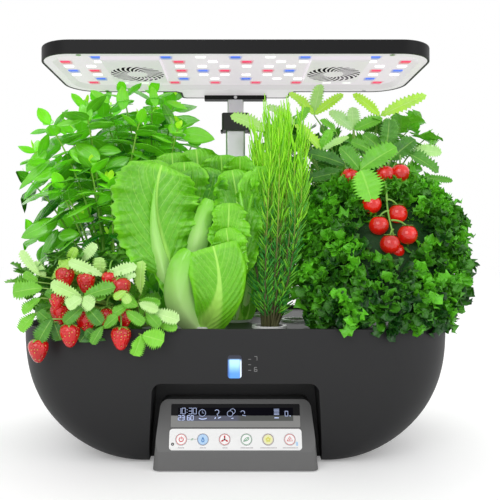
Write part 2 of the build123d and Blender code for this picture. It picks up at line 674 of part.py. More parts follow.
with BuildPart() as basket:
    with BuildSketch(Plane.XZ):
        with BuildLine():
            Polyline(
                (0, CUP_BOTTOM), (CUP_BOTTOM_RADIUS, CUP_BOTTOM), (CUP_TOP_RADIUS, DECK_TOP),
                (FLANGE_RADIUS, DECK_TOP), (FLANGE_RADIUS, FLANGE_TOP),
                (CUP_TOP_RADIUS - CUP_WALL, FLANGE_TOP),
                (CUP_TOP_RADIUS - CUP_WALL, DECK_TOP), (CUP_BOTTOM_RADIUS - CUP_WALL, CUP_BOTTOM + CUP_WALL),
                (0, CUP_BOTTOM + CUP_WALL), close=True)
        make_face()
    revolve(axis=Axis.Z)
    slot_height = CUP_DEPTH - 2 * CUP_SLOT_MARGIN
    for angle in (0, 90):
        with Locations(Location((0, 0, CUP_BOTTOM + CUP_DEPTH / 2), (0, 0, angle))):
            Box(2 * CUP_TOP_RADIUS, CUP_SLOT, slot_height, mode=Mode.SUBTRACT)

with BuildPart() as grow_baskets:
    with Locations(*pod_places()):
        add(basket.part)
grow_baskets.part.label = "grow_baskets"
export_step(grow_baskets.part, "parts/grow_baskets.step")

with BuildPart() as sponge:
    with BuildSketch(Plane.XZ):
        with BuildLine():
            Polyline(
                (0, CUP_BOTTOM + CUP_WALL), (CUP_BOTTOM_RADIUS - CUP_WALL - POD_GAP, CUP_BOTTOM + CUP_WALL),
                (CUP_TOP_RADIUS - CUP_WALL - POD_GAP, DECK_TOP),
                (CUP_TOP_RADIUS - CUP_WALL - POD_GAP, SPONGE_TOP),
                (0, SPONGE_TOP), close=True)
        make_face()
    revolve(axis=Axis.Z)

with BuildPart() as grow_sponges:
    with Locations(*pod_places()):
        add(sponge.part)
grow_sponges.part.label = "grow_sponges"
export_step(grow_sponges.part, "parts/grow_sponges.step")

# ---------------------------------------------------------------- filling lid
with BuildPart() as fill_lid:
    with BuildSketch(Plane.XY.offset(DECK_TOP + LID_LIFT)) as plate:
        with Locations((LID_X, LID_Y)):
            Rectangle(LID_WIDTH, LID_LENGTH)
        fillet(plate.vertices(), LID_CORNER)
    extrude(amount=LID_THICKNESS)
    with BuildSketch(Plane.YZ.offset(LID_X)):
        with Locations((HINGE_Y, HINGE_Z)):
            Circle(HINGE_RADIUS)
        with Locations((HINGE_Y - HINGE_RADIUS, DECK_TOP + LID_LIFT + LID_THICKNESS / 2)):
            Rectangle(2 * HINGE_RADIUS, LID_THICKNESS)
        with Locations((HINGE_Y, HINGE_Z)):
            Circle(HINGE_PIN_RADIUS + HINGE_RUN, mode=Mode.SUBTRACT)
    extrude(amount=BARREL_WIDTH / 2, both=True)
    # finger lip along the front edge
    with BuildSketch(Plane.YZ.offset(LID_X)):
        with Locations((LID_Y - LID_LENGTH / 2, DECK_TOP + LID_LIFT + LID_THICKNESS)):
            Circle(1.6)
    extrude(amount=LID_WIDTH / 2 - LID_CORNER, both=True)
fill_lid.part.label = "fill_lid"
export_step(fill_lid.part, "parts/fill_lid.step")

with BuildPart() as fill_lid_pin:
    with BuildSketch(Plane.YZ.offset(LID_X)):
        with Locations((HINGE_Y, HINGE_Z)):
            Circle(HINGE_PIN_RADIUS)
    extrude(amount=BARREL_WIDTH / 2 + HINGE_GAP + LUG_WIDTH, both=True)
fill_lid_pin.part.label = "fill_lid_pin"
export_step(fill_lid_pin.part, "parts/fill_lid_pin.step")

# ---------------------------------------------------------------- pump
with BuildPart() as pump_body:
    with BuildSketch(Plane.XY.offset(TANK_FLOOR)):
        with Locations((PUMP_X, PUMP_Y)):
            RectangleRounded(PUMP_WIDTH, PUMP_DEPTH, PUMP_CORNER)
    extrude(amount=PUMP_HEIGHT)
    with BuildSketch(Plane.XZ.offset(-PUMP_FRONT_Y)):
        with Locations((PUMP_X, PUMP_AXIS_Z)):
            Circle(CHAMBER_RADIUS)
    extrude(amount=-CHAMBER_DEPTH, mode=Mode.SUBTRACT)
    with BuildSketch(Plane.XY.offset(TUBE_BOTTOM)):
        with Locations((PUMP_X, PUMP_Y)):
            Circle(TUBE_BORE - NOZZLE_GAP)
    extrude(amount=NOZZLE_HEIGHT)
    with BuildSketch(Plane.XZ.offset(-PUMP_FRONT_Y - CHAMBER_DEPTH)):
        with Locations((PUMP_X, PUMP_AXIS_Z)):
            Circle(SHAFT_RADIUS)
    extrude(amount=-4, mode=Mode.SUBTRACT)
pump_body.part.label = "pump_body"
export_step(pump_body.part, "parts/pump_body.step")

with BuildPart() as pump_shaft:
    with BuildSketch(Plane.XZ.offset(-PUMP_FRONT_Y - CHAMBER_DEPTH - 4)):
        with Locations((PUMP_X, PUMP_AXIS_Z)):
            Circle(SHAFT_RADIUS)
    extrude(amount=CHAMBER_DEPTH + 4)
pump_shaft.part.label = "pump_shaft"
export_step(pump_shaft.part, "parts/pump_shaft.step")

impeller_back = PUMP_FRONT_Y + CHAMBER_DEPTH - 1
with BuildPart() as pump_impeller:
    with BuildSketch(Plane.XZ.offset(-impeller_back)):
        with Locations((PUMP_X, PUMP_AXIS_Z)):
            Circle(IMPELLER_HUB)
            with PolarLocations(0, IMPELLER_BLADES):
                with Locations((IMPELLER_RADIUS / 2, 0)):
                    Rectangle(IMPELLER_RADIUS, BLADE_THICKNESS)
            Circle(SHAFT_RADIUS + SHAFT_RUN, mode=Mode.SUBTRACT)
    extrude(amount=CHAMBER_DEPTH - 2)
pump_impeller.part.label = "pump_impeller"
export_step(pump_impeller.part, "parts/pump_impeller.step")

with BuildPart() as pump_cover:
    with BuildSketch(Plane.XZ.offset(-PUMP_FRONT_Y)):
        with Locations((PUMP_X, TANK_FLOOR + PUMP_HEIGHT / 2)):
            RectangleRounded(PUMP_WIDTH, PUMP_HEIGHT, PUMP_CORNER)
            with GridLocations(0, INTAKE_PITCH, 1, INTAKES):
                SlotOverall(PUMP_WIDTH * 0.6, INTAKE_SLOT, mode=Mode.SUBTRACT)
    extrude(amount=COVER_THICKNESS)
pump_cover.part.label = "pump_cover"
export_step(pump_cover.part, "parts/pump_cover.step")

with BuildPart() as pump_tube:
    with BuildSketch(Plane.XY.offset(TUBE_BOTTOM)):
        with Locations((PUMP_X, PUMP_Y)):
            Circle(TUBE_RADIUS)
            Circle(TUBE_BORE, mode=Mode.SUBTRACT)
    extrude(amount=TUBE_TOP - TUBE_BOTTOM)
pump_tube.part.label = "pump_tube"
export_step(pump_tube.part, "parts/pump_tube.step")

# ---------------------------------------------------------------- console
key_places = [((n - (len(KEY_NAMES) - 1) / 2) * KEY_PITCH, STRIP_CENTRE) for n in range(len(KEY_NAMES))]
board_centre = (GLASS_CENTRE + STRIP_CENTRE) / 2
board_screw_places = [(x, board_centre) for x in (-BOARD_WIDTH / 2 + 3, BOARD_WIDTH / 2 - 3)]
base_screw_x = CONSOLE_WIDTH / 2 - BASE_SCREW_IN
base_screw_places = [(x, -CONSOLE_FRONT + BASE_SCREW_SETBACK) for x in (-base_screw_x, base_screw_x)]

with BuildPart() as console_shell:
    add(console_block(0, 0))
    add(console_block(CONSOLE_WALL, PANEL_WALL), mode=Mode.SUBTRACT)
    with BuildSketch(incline_plane()):
        with Locations((0, GLASS_CENTRE)):
            RectangleRounded(GLASS_WIDTH + 2 * PANEL_GAP, GLASS_HEIGHT + 2 * PANEL_GAP, GLASS_CORNER)
        with Locations((0, STRIP_CENTRE)):
            RectangleRounded(STRIP_WIDTH + 2 * PANEL_GAP, STRIP_HEIGHT - 2 * PANEL_GAP, STRIP_CORNER)
    extrude(amount=-PANEL_SEAT, mode=Mode.SUBTRACT)
    with BuildSketch(incline_plane(PANEL_SEAT)):
        with Locations((0, GLASS_CENTRE)):
            Rectangle(MODULE_WIDTH + 1, MODULE_HEIGHT + 1)
        with Locations(*key_places):
            Circle(KEY_RADIUS + KEY_FLANGE + KEY_CLEAR)
    extrude(amount=-PANEL_WALL, mode=Mode.SUBTRACT)
    with BuildSketch(incline_plane(PANEL_WALL)):
        with Locations(*board_screw_places):
            Circle(BOSS_RADIUS - 1)
    extrude(amount=-(BOARD_DEPTH - PANEL_WALL))
    with BuildSketch(Plane.XZ.offset(POCKET_BACK)):
        with Locations(*boss_places):
            Circle(SCREW_RADIUS)
    extrude(amount=CONSOLE_WALL, mode=Mode.SUBTRACT)
console_shell.part.label = "console_shell"
export_step(console_shell.part, "parts/console_shell.step")

with BuildPart() as console_base:
    with BuildSketch(Plane.XY.offset(CONSOLE_LIFT)):
        with Locations((0, -(CONSOLE_FRONT + POCKET_BACK) / 2)):
            inner = CONSOLE_WALL + BASE_GAP
            depth = CONSOLE_FRONT - POCKET_BACK - 2 * inner
            RectangleRounded(CONSOLE_WIDTH - 2 * inner, depth, CONSOLE_CORNER - CONSOLE_WALL)
        with Locations(*base_screw_places):
            Circle(SCREW_RADIUS, mode=Mode.SUBTRACT)
    extrude(amount=BASE_THICKNESS)
    with BuildSketch(Plane.XY.offset(CONSOLE_LIFT)):
        with Locations(*console_feet_places):
            Circle(CONSOLE_FOOT_RADIUS)
    extrude(amount=CONSOLE_FOOT_SEAT, mode=Mode.SUBTRACT)
console_base.part.label = "console_base"
export_step(console_base.part, "parts/console_base.step")

with BuildPart() as console_feet:
    with BuildSketch():
        with Locations(*console_feet_places):
            Circle(CONSOLE_FOOT_RADIUS)
    extrude(amount=CONSOLE_LIFT + CONSOLE_FOOT_SEAT)
console_feet.part.label = "console_feet"
export_step(console_feet.part, "parts/console_feet.step")

with BuildPart() as display_window:
    with BuildSketch(incline_plane()):
        with Locations((0, GLASS_CENTRE)):
            RectangleRounded(GLASS_WIDTH, GLASS_HEIGHT, GLASS_CORNER)
    extrude(amount=-PANEL_SEAT)
display_window.part.label = "display_window"
export_step(display_window.part, "parts/display_window.step")

with BuildPart() as display_module:
    with BuildSketch(incline_plane(PANEL_SEAT + 0.2)):
        with Locations((0, GLASS_CENTRE)):
            Rectangle(MODULE_WIDTH, MODULE_HEIGHT)
    extrude(amount=-(BOARD_DEPTH - PANEL_SEAT - 0.2))
display_module.part.label = "display_module"
export_step(display_module.part, "parts/display_module.step")

with BuildPart() as key_strip:
    with BuildSketch(incline_plane()):
        with Locations((0, STRIP_CENTRE)):
            RectangleRounded(STRIP_WIDTH, STRIP_HEIGHT - 4 * PANEL_GAP, STRIP_CORNER)
        with Locations(*key_places):
            Circle(KEY_RADIUS + KEY_GAP, mode=Mode.SUBTRACT)
    extrude(amount=-PANEL_SEAT)
key_strip.part.label = "key_strip"
export_step(key_strip.part, "parts/key_strip.step")

for name, place in zip(KEY_NAMES, key_places):
    with BuildPart() as key:
        with BuildSketch(incline_plane(-KEY_PROUD)):
            with Locations(place):
                Circle(KEY_RADIUS)
        extrude(amount=-(KEY_PROUD + PANEL_SEAT + KEY_GAP))
        fillet(key.edges().group_by(Axis((0, 0, 0), tuple(incline_plane().z_dir)))[-1], 0.3)
        with BuildSketch(incline_plane(PANEL_SEAT + KEY_GAP)):
            with Locations(place):
                Circle(KEY_RADIUS + KEY_FLANGE)
        extrude(amount=-KEY_FLANGE_THICKNESS)
    key.part.label = f"key_{name}"
    export_step(key.part, f"parts/key_{name}.step")

with BuildPart() as control_board:
    with BuildSketch(incline_plane(BOARD_DEPTH)):
        with Locations((0, board_centre)):
            Rectangle(BOARD_WIDTH, BOARD_HEIGHT)
        with Locations(*board_screw_places):
            Circle(SCREW_RADIUS, mode=Mode.SUBTRACT)
    extrude(amount=-BOARD_THICKNESS)
control_board.part.label = "control_board"
export_step(control_board.part, "parts/control_board.step")

key_back = PANEL_SEAT + KEY_GAP + KEY_FLANGE_THICKNESS
with BuildPart() as touch_switches:
    with BuildSketch(incline_plane(BOARD_DEPTH)):
        with Locations(*key_places):
            Rectangle(SWITCH_SIZE, SWITCH_SIZE)
    extrude(amount=SWITCH_HEIGHT)
    with BuildSketch(incline_plane(BOARD_DEPTH)):
        with Locations(*key_places):
            Circle(PLUNGER_RADIUS)
    extrude(amount=BOARD_DEPTH - key_back - KEY_TRAVEL - KEY_CLEAR)
touch_switches.part.label = "touch_switches"
export_step(touch_switches.part, "parts/touch_switches.step")

# ---------------------------------------------------------------- pole
with BuildPart() as pole_socket:
    with BuildSketch(Plane.XY.offset(DECK_TOP)):
        with Locations((0, POLE_Y)):
            RectangleRounded(SOCKET_WIDTH, SOCKET_DEPTH, SOCKET_CORNER)
    extrude(amount=SOCKET_HEIGHT, taper=SOCKET_DRAFT)
    fillet(pole_socket.edges().group_by(Axis.Z)[-1], 1.5)
    with BuildSketch(Plane.XY.offset(DECK_TOP)):
        with Locations((0, POLE_Y)):
            RectangleRounded(
                OUTER_WIDTH + 2 * POLE_SEAT, OUTER_DEPTH + 2 * POLE_SEAT, POLE_CORNER + POLE_SEAT)
    extrude(amount=SOCKET_HEIGHT, mode=Mode.SUBTRACT)
    with BuildSketch(Plane.XY.offset(DECK_TOP)):
        with Locations(*socket_screw_places):
            Circle(SCREW_RADIUS)
    extrude(amount=SOCKET_SCREW_DEPTH + 1, mode=Mode.SUBTRACT)
    with BuildSketch(Plane.XZ.offset(-POLE_Y - SOCKET_DEPTH / 2)):
        with Locations((JACK_X, DECK_TOP + JACK_HEIGHT)):
            Circle(JACK_RADIUS)
    extrude(amount=JACK_LENGTH, mode=Mode.SUBTRACT)
pole_socket.part.label = "pole_socket"
export_step(pole_socket.part, "parts/pole_socket.step")

jack_plane = Plane.XZ.offset(-POLE_Y - SOCKET_DEPTH / 2 + JACK_INSET)
with BuildPart() as power_jack:
    with BuildSketch(jack_plane):
        with Locations((JACK_X, DECK_TOP + JACK_HEIGHT)):
            Circle(JACK_RADIUS)
            Circle(JACK_BORE, mode=Mode.SUBTRACT)
    extrude(amount=JACK_LENGTH - JACK_INSET)
    with BuildSketch(jack_plane.offset(JACK_LENGTH - JACK_INSET)):
        with Locations((JACK_X, DECK_TOP + JACK_HEIGHT)):
            Circle(JACK_RADIUS)
    extrude(amount=-2)
    with BuildSketch(jack_plane.offset(JACK_LENGTH - JACK_INSET - 2)):
        with Locations((JACK_X, DECK_TOP + JACK_HEIGHT)):
            Circle(JACK_PIN)
    extrude(amount=-(JACK_LENGTH - JACK_INSET - 3))
power_jack.part.label = "power_jack"
export_step(power_jack.part, "parts/power_jack.step")

with BuildPart() as pole_outer:
    with BuildSketch(Plane.XY.offset(POLE_BOTTOM)):
        with Locations((0, POLE_Y)):
            RectangleRounded(OUTER_WIDTH, OUTER_DEPTH, POLE_CORNER)
            RectangleRounded(
                OUTER_WIDTH - 2 * POLE_WALL, OUTER_DEPTH - 2 * POLE_WALL, POLE_CORNER - POLE_WALL / 2,
                mode=Mode.SUBTRACT)
    extrude(amount=OUTER_TOP - POLE_BOTTOM)
pole_outer.part.label = "pole_outer"
export_step(pole_outer.part, "parts/pole_outer.step")

with BuildPart() as pole_inner:
    with BuildSketch(Plane.XY.offset(INNER_BOTTOM)):
        with Locations((0, POLE_Y)):
            RectangleRounded(INNER_WIDTH, INNER_DEPTH, INNER_CORNER)
            RectangleRounded(
                INNER_WIDTH - 2 * INNER_WALL, INNER_DEPTH - 2 * INNER_WALL, INNER_CORNER - INNER_WALL / 2,
                mode=Mode.SUBTRACT)
    extrude(amount=BRACKET_BOTTOM - INNER_BOTTOM)
pole_inner.part.label = "pole_inner"
export_step(pole_inner.part, "parts/pole_inner.step")

pad_y = POLE_Y + INNER_DEPTH / 2 + PAD_GAP
with BuildPart() as pole_collar:
    with BuildSketch(Plane.XY.offset(COLLAR_BOTTOM)):
        with Locations((0, POLE_Y)):
            RectangleRounded(COLLAR_WIDTH, COLLAR_DEPTH, COLLAR_CORNER)
    extrude(amount=COLLAR_TOP - COLLAR_BOTTOM)
    fillet(pole_collar.edges().group_by(Axis.Z)[-1], 1.2)
    with BuildSketch(Plane.XY.offset(COLLAR_BOTTOM)):
        with Locations((0, POLE_Y)):
            RectangleRounded(
                OUTER_WIDTH + 2 * POLE_SEAT, OUTER_DEPTH + 2 * POLE_SEAT, POLE_CORNER + POLE_SEAT)
    extrude(amount=OUTER_TOP - COLLAR_BOTTOM, mode=Mode.SUBTRACT)
    with BuildSketch(Plane.XY.offset(OUTER_TOP)):
        with Locations((0, POLE_Y)):
            RectangleRounded(
                INNER_WIDTH + 2 * SLIDE_GAP, INNER_DEPTH + 2 * SLIDE_GAP, INNER_CORNER + SLIDE_GAP)
        with Locations((0, pad_y + PAD_THICKNESS / 2)):
            Rectangle(PAD_WIDTH, PAD_THICKNESS)
    extrude(amount=COLLAR_LIP, mode=Mode.SUBTRACT)
    # small stop at the lower edge of each side
    for side in (-1, 1):
        with Locations((side * COLLAR_WIDTH / 2, POLE_Y, COLLAR_BOTTOM)):
            Cylinder(STOP_RADIUS, COLLAR_DEPTH / 2, rotation=(90, 0, 0))
    with BuildSketch(Plane.XZ.offset(-POLE_Y - COLLAR_DEPTH / 2)):
        with Locations((0, COLLAR_SCREW_Z)):
            Circle(SCREW_RADIUS)
    extrude(amount=COLLAR_DEPTH / 2 - OUTER_DEPTH / 2, mode=Mode.SUBTRACT)
pole_collar.part.label = "pole_collar"
export_step(pole_collar.part, "parts/pole_collar.step")

with BuildPart() as friction_pad:
    with BuildSketch(Plane.XY.offset(OUTER_TOP)):
        with Locations((0, pad_y + PAD_THICKNESS / 2)):
            Rectangle(PAD_WIDTH, PAD_THICKNESS)
    extrude(amount=COLLAR_LIP)
friction_pad.part.label = "friction_pad"
export_step(friction_pad.part, "parts/friction_pad.step")


def screw_set(plane, places, reach):
    """Screws with their heads' seats on a plane, heads along its normal and shanks reaching below it."""
    with BuildPart() as screws:
        with BuildSketch(plane):
            with Locations(*places):
                Circle(SCREW_HEAD_RADIUS)
        extrude(amount=SCREW_HEAD_HEIGHT)
        with BuildSketch(plane):
            with Locations(*places):
                Circle(SCREW_RADIUS)
        extrude(amount=-reach)
    return screws.part


with BuildPart() as fixing_screws:
    add(screw_set(Plane.XZ.offset(POCKET_BACK + CONSOLE_WALL), boss_places, CONSOLE_WALL + 5))
    back_of_board = incline_plane(BOARD_DEPTH + BOARD_THICKNESS)
    back_of_board = Plane(back_of_board.origin, x_dir=(1, 0, 0), z_dir=-back_of_board.z_dir)
    mirrored_places = [(x, -y) for x, y in board_screw_places]
    add(screw_set(back_of_board, mirrored_places, BOARD_THICKNESS))
    below_deck = Plane((0, 0, LEDGE_TOP), x_dir=(1, 0, 0), z_dir=(0, 0, -1))
    mirrored_places = [(x, -y) for x, y in socket_screw_places]
    add(screw_set(below_deck, mirrored_places, DECK_THICKNESS + SOCKET_SCREW_DEPTH))
    behind_collar = Plane((0, POLE_Y + COLLAR_DEPTH / 2, COLLAR_SCREW_Z), x_dir=(1, 0, 0), z_dir=(0, 1, 0))
    add(screw_set(behind_collar, [(0, 0)], COLLAR_DEPTH / 2 - OUTER_DEPTH / 2 - POLE_SEAT))
fixing_screws.part.label = "fixing_screws"
export_step(fixing_screws.part, "parts/fixing_screws.step")

# ---------------------------------------------------------------- lamp


def lamp_outline(inset):
    """Sketch of the lamp's plan with its rear tab, moved in by inset, at the lamp's lower edge."""
    with BuildSketch() as outline:
        with Locations((0, LAMP_Y)):
            RectangleRounded(LAMP_WIDTH - 2 * inset, LAMP_DEPTH - 2 * inset, LAMP_CORNER - inset)
        half, reach = TAB_WIDTH / 2 - inset, LAMP_REAR + TAB_REACH - inset
        root = LAMP_REAR - inset
        with BuildLine():
            Polyline((-half - TAB_FLARE, root), (-half, root + TAB_FLARE), (-half, reach), (half, reach),
                     (half, root + TAB_FLARE), (half + TAB_FLARE, root),
                     (half, root - TAB_ROOT), (-half, root - TAB_ROOT),
                     close=True)
        make_face()
        fillet(outline.vertices().group_by(Axis.Y)[-1], TAB_CORNER - inset / 2)
    return outline.sketch


def fan_pad(x, width, front, back):
    """Plan rectangle of a fan's pad about a fan axis at x."""
    with BuildSketch() as pad:
        with Locations((x, LAMP_Y + (back - front) / 2)):
            Rectangle(width, front + back)
    return pad.sketch


def grille_slot():
    """One curved louvre opening in the ring between the hub and the rim, about the fan's axis."""
    step = math.radians(360 / GRILLE_SLOTS)
    twist = math.radians(GRILLE_TWIST)
    inner, outer = GRILLE_HUB, GRILLE_RADIUS
    middle = (inner + outer) / 2

    def edge(start):
        spots = ((inner, start), (middle, start + twist * 0.4), (outer, start + twist))
        return [(r * math.cos(a), r * math.sin(a)) for r, a in spots]

    near, far = edge(0.0), edge(step * GRILLE_OPEN)
    with BuildSketch() as slot:
        with BuildLine():
            ThreePointArc(*near)
            Line(near[2], far[2])
            ThreePointArc(*far)
            Line(far[0], near[0])
        make_face()
    return slot.sketch


fan_spots = [(-FAN_X, LAMP_Y), (FAN_X, LAMP_Y)]

with BuildPart() as lamp_shell:
    add(lamp_outline(0).moved(Location((0, 0, LAMP_BOTTOM))))
    extrude(amount=LAMP_TOP - LAMP_BOTTOM)
    fillet(lamp_shell.edges().group_by(Axis.Z)[-1], LAMP_ROUND)
    add(lamp_outline(LAMP_WALL).moved(Location((0, 0, LAMP_BOTTOM))))
    extrude(amount=LAMP_TOP - LAMP_BOTTOM - LAMP_WALL, mode=Mode.SUBTRACT)
    with BuildSketch(Plane.XY.offset(LAMP_TOP)):
        with Locations(*fan_spots):
            with GridLocations(VENT_PITCH, 0, VENT_SLOTS, 1):
                SlotOverall(VENT_LENGTH, VENT_WIDTH, rotation=90)
    extrude(amount=-LAMP_WALL, mode=Mode.SUBTRACT)
    # bosses that take the bezel's screws
    with BuildSketch(Plane.XY.offset(FAN_TOP)):
        with Locations(*bezel_screw_places):
            Circle(BOSS_RADIUS - 0.6)
            Circle(SCREW_RADIUS, mode=Mode.SUBTRACT)
    extrude(amount=-(FAN_TOP - BEZEL_BACK))
lamp_shell.part.label = "lamp_shell"
export_step(lamp_shell.part, "parts/lamp_shell.step")

tray_width = LAMP_WIDTH - 2 * (LAMP_WALL + BEZEL_BORDER)
tray_depth = LAMP_DEPTH - 2 * (LAMP_WALL + BEZEL_BORDER)
tray_corner = LAMP_CORNER - LAMP_WALL - BEZEL_BORDER
with BuildPart() as lamp_bezel:
    add(lamp_outline(LAMP_WALL + BEZEL_GAP).moved(Location((0, 0, BEZEL_FACE))))
    extrude(amount=BEZEL_THICKNESS)
    # raised tray with sloping walls that holds the LED board
    with BuildSketch(Plane.XY.offset(BEZEL_FACE)):
        with Locations((0, LAMP_Y)):
            RectangleRounded(tray_width, tray_depth, tray_corner)
    with BuildSketch(Plane.XY.offset(TRAY_TOP)):
        with Locations((0, LAMP_Y)):
            RectangleRounded(
                tray_width - 2 * BEZEL_SLOPE + 2 * BEZEL_THICKNESS,
                tray_depth - 2 * BEZEL_SLOPE + 2 * BEZEL_THICKNESS,
                tray_corner - BEZEL_SLOPE + BEZEL_THICKNESS)
    loft()
    with BuildSketch(Plane.XY.offset(BEZEL_FACE)):
        with Locations((0, LAMP_Y)):
            RectangleRounded(tray_width - 1, tray_depth - 1, tray_corner - 0.5)
    with BuildSketch(Plane.XY.offset(LED_FACE)):
        with Locations((0, LAMP_Y)):
            RectangleRounded(
                tray_width - 2 * BEZEL_SLOPE, tray_depth - 2 * BEZEL_SLOPE, tray_corner - BEZEL_SLOPE)
    loft(mode=Mode.SUBTRACT)
    with BuildSketch(Plane.XY.offset(LED_FACE)):
        with Locations((0, LAMP_Y)):
            RectangleRounded(
                tray_width - 2 * BEZEL_SLOPE, tray_depth - 2 * BEZEL_SLOPE, tray_corner - BEZEL_SLOPE)
    extrude(amount=LED_BOARD_THICKNESS, mode=Mode.SUBTRACT)
    for x in (-FAN_X, FAN_X):
        add(fan_pad(x, FAN_PAD_WIDTH, FAN_PAD_FRONT, FAN_PAD_BACK).moved(Location((0, 0, BEZEL_FACE))))
    extrude(amount=TRAY_TOP - BEZEL_FACE)
    for x in (-FAN_X, FAN_X):
        hollow = PAD_WALL
        pad = fan_pad(x, FAN_PAD_WIDTH - 2 * hollow, FAN_PAD_FRONT - hollow, FAN_PAD_BACK - hollow)
        add(pad.moved(Location((0, 0, BEZEL_BACK))))
    extrude(amount=TRAY_TOP - BEZEL_BACK, mode=Mode.SUBTRACT)
    for x, y in fan_spots:
        with BuildSketch(Plane.XY.offset(BEZEL_FACE)):
            with Locations((x, y)):
                with PolarLocations(0, GRILLE_SLOTS):
                    add(grille_slot())
            with Locations((x, y - FAN_PAD_FRONT + PAD_SLOT * 2)):
                Rectangle(PAD_SLOT_WIDTH, PAD_SLOT)
        extrude(amount=BEZEL_THICKNESS, mode=Mode.SUBTRACT)
    with BuildSketch(Plane.XY.offset(BEZEL_FACE)):
        with Locations(*bezel_screw_places):
            Circle(SCREW_RADIUS)
    extrude(amount=BEZEL_THICKNESS, mode=Mode.SUBTRACT)
lamp_bezel.part.label = "lamp_bezel"
export_step(lamp_bezel.part, "parts/lamp_bezel.step")

with BuildPart() as led_board:
    with BuildSketch(Plane.XY.offset(LED_FACE)):
        with Locations((0, LAMP_Y)):
            RectangleRounded(
                tray_width - 2 * BEZEL_SLOPE - 2 * BOARD_GAP, tray_depth - 2 * BEZEL_SLOPE - 2 * BOARD_GAP,
                tray_corner - BEZEL_SLOPE)
        for x in (-FAN_X, FAN_X):
            pad = fan_pad(x, FAN_PAD_WIDTH + 2 * BOARD_GAP, FAN_PAD_FRONT + BOARD_GAP, FAN_PAD_BACK + BOARD_GAP)
            add(pad, mode=Mode.SUBTRACT)
    extrude(amount=LED_BOARD_THICKNESS)
led_board.part.label = "led_board"
export_step(led_board.part, "parts/led_board.step")


def led_spot(column, row):
    """Plan position of an LED on the board's grid."""
    return (column * LED_COLUMN_PITCH, LAMP_Y + row * LED_ROW_PITCH)


def clear_of_pads(column, row):
    """True where an LED on the grid clears both fan pads."""
    x, y = led_spot(column, row)
    off = abs(abs(x) - FAN_X) - FAN_PAD_WIDTH / 2 - LED_WIDTH / 2 - BOARD_GAP
    before = LAMP_Y - FAN_PAD_FRONT - LED_DEPTH / 2 - BOARD_GAP
    behind = LAMP_Y + FAN_PAD_BACK + LED_DEPTH / 2 + BOARD_GAP
    return off > 0 or y < before or y > behind


def placed_leds(spots):
    """LED packages below the board at the given columns and rows."""
    with BuildPart() as leds:
        with BuildSketch(Plane.XY.offset(LED_FACE)):
            with Locations(*[led_spot(*spot) for spot in spots]):
                Rectangle(LED_WIDTH, LED_DEPTH)
        extrude(amount=-LED_HEIGHT)
    return leds


coloured = set(BLUE_LEDS) | set(RED_LEDS)
white_leds = [
    (column, row)
    for row in range(-LED_ROWS, LED_ROWS + 1)
    for column in range(-LED_COLUMNS, LED_COLUMNS + 1)
    if (column + row) % 2 == 0
    and abs(column) + abs(row) < LED_COLUMNS + LED_ROWS
    and clear_of_pads(column, row)
    and not {(column - 1, row), (column, row), (column + 1, row)} & coloured
]
for colour, spots in (("white", white_leds), ("red", RED_LEDS), ("blue", BLUE_LEDS)):
    leds = placed_leds(spots)
    leds.part.label = f"leds_{colour}"
    export_step(leds.part, f"parts/leds_{colour}.step")

# ---------------------------------------------------------------- fans
for side, x in (("left", -FAN_X), ("right", FAN_X)):
    with BuildPart() as fan_frame:
        with BuildSketch(Plane.XY.offset(FAN_TOP)):
            with Locations((x, LAMP_Y)):
                RectangleRounded(FAN_SIZE, FAN_SIZE, 3)
                Circle(FAN_BORE, mode=Mode.SUBTRACT)
        extrude(amount=-FAN_HEIGHT)
        # motor plate, its struts and the spindle
        with BuildSketch(Plane.XY.offset(FAN_TOP)):
            with Locations((x, LAMP_Y)):
                Circle(ROTOR_HUB)
                with Locations((0, 0)):
                    Rectangle(2 * FAN_BORE + 1, STRUT_WIDTH)
                    Rectangle(STRUT_WIDTH, 2 * FAN_BORE + 1)
        extrude(amount=-MOTOR_PLATE)
        with BuildSketch(Plane.XY.offset(FAN_TOP)):
            with Locations((x, LAMP_Y)):
                Circle(SPINDLE_RADIUS)
        extrude(amount=-SPINDLE_LENGTH)
    fan_frame.part.label = f"fan_frame_{side}"
    export_step(fan_frame.part, f"parts/fan_frame_{side}.step")

    rotor_top = FAN_TOP - MOTOR_PLATE - ROTOR_CLEAR
    with BuildPart() as fan_rotor:
        with BuildSketch(Plane.XY.offset(rotor_top)):
            with Locations((x, LAMP_Y)):
                Circle(ROTOR_HUB)
        extrude(amount=-ROTOR_HEIGHT)
        for blade in range(ROTOR_BLADES):
            turn = 360 / ROTOR_BLADES * blade
            blade_place = Location((x, LAMP_Y, rotor_top - ROTOR_HEIGHT / 2), (0, 0, turn))
            with Locations(blade_place):
                with Locations(Location(((ROTOR_HUB + ROTOR_RADIUS) / 2 - 1, 0, 0), (BLADE_PITCH, 0, 0))):
                    Box(ROTOR_RADIUS - ROTOR_HUB, BLADE_CHORD, 1.0)
        with BuildSketch(Plane.XY.offset(rotor_top)):
            with Locations((x, LAMP_Y)):
                Circle(SPINDLE_RADIUS + SHAFT_RUN)
        extrude(amount=-ROTOR_HEIGHT + 1.5, mode=Mode.SUBTRACT)
    fan_rotor.part.label = f"fan_rotor_{side}"
    export_step(fan_rotor.part, f"parts/fan_rotor_{side}.step")

# ---------------------------------------------------------------- bracket and screws of the lamp
with BuildPart() as lamp_bracket:
    with BuildSketch(Plane.XY.offset(BRACKET_BOTTOM)):
        with Locations((0, POLE_Y)):
            RectangleRounded(BRACKET_WIDTH, BRACKET_DEPTH, 2)
    extrude(amount=BEZEL_FACE - BRACKET_BOTTOM)
    with BuildSketch(Plane.XZ.offset(-POLE_Y + BRACKET_DEPTH / 2)):
        with Locations((0, (BRACKET_BOTTOM + BEZEL_FACE) / 2)):
            Circle(SCREW_RADIUS)
    extrude(amount=-BRACKET_DEPTH / 4, mode=Mode.SUBTRACT)
lamp_bracket.part.label = "lamp_bracket"
export_step(lamp_bracket.part, "parts/lamp_bracket.step")

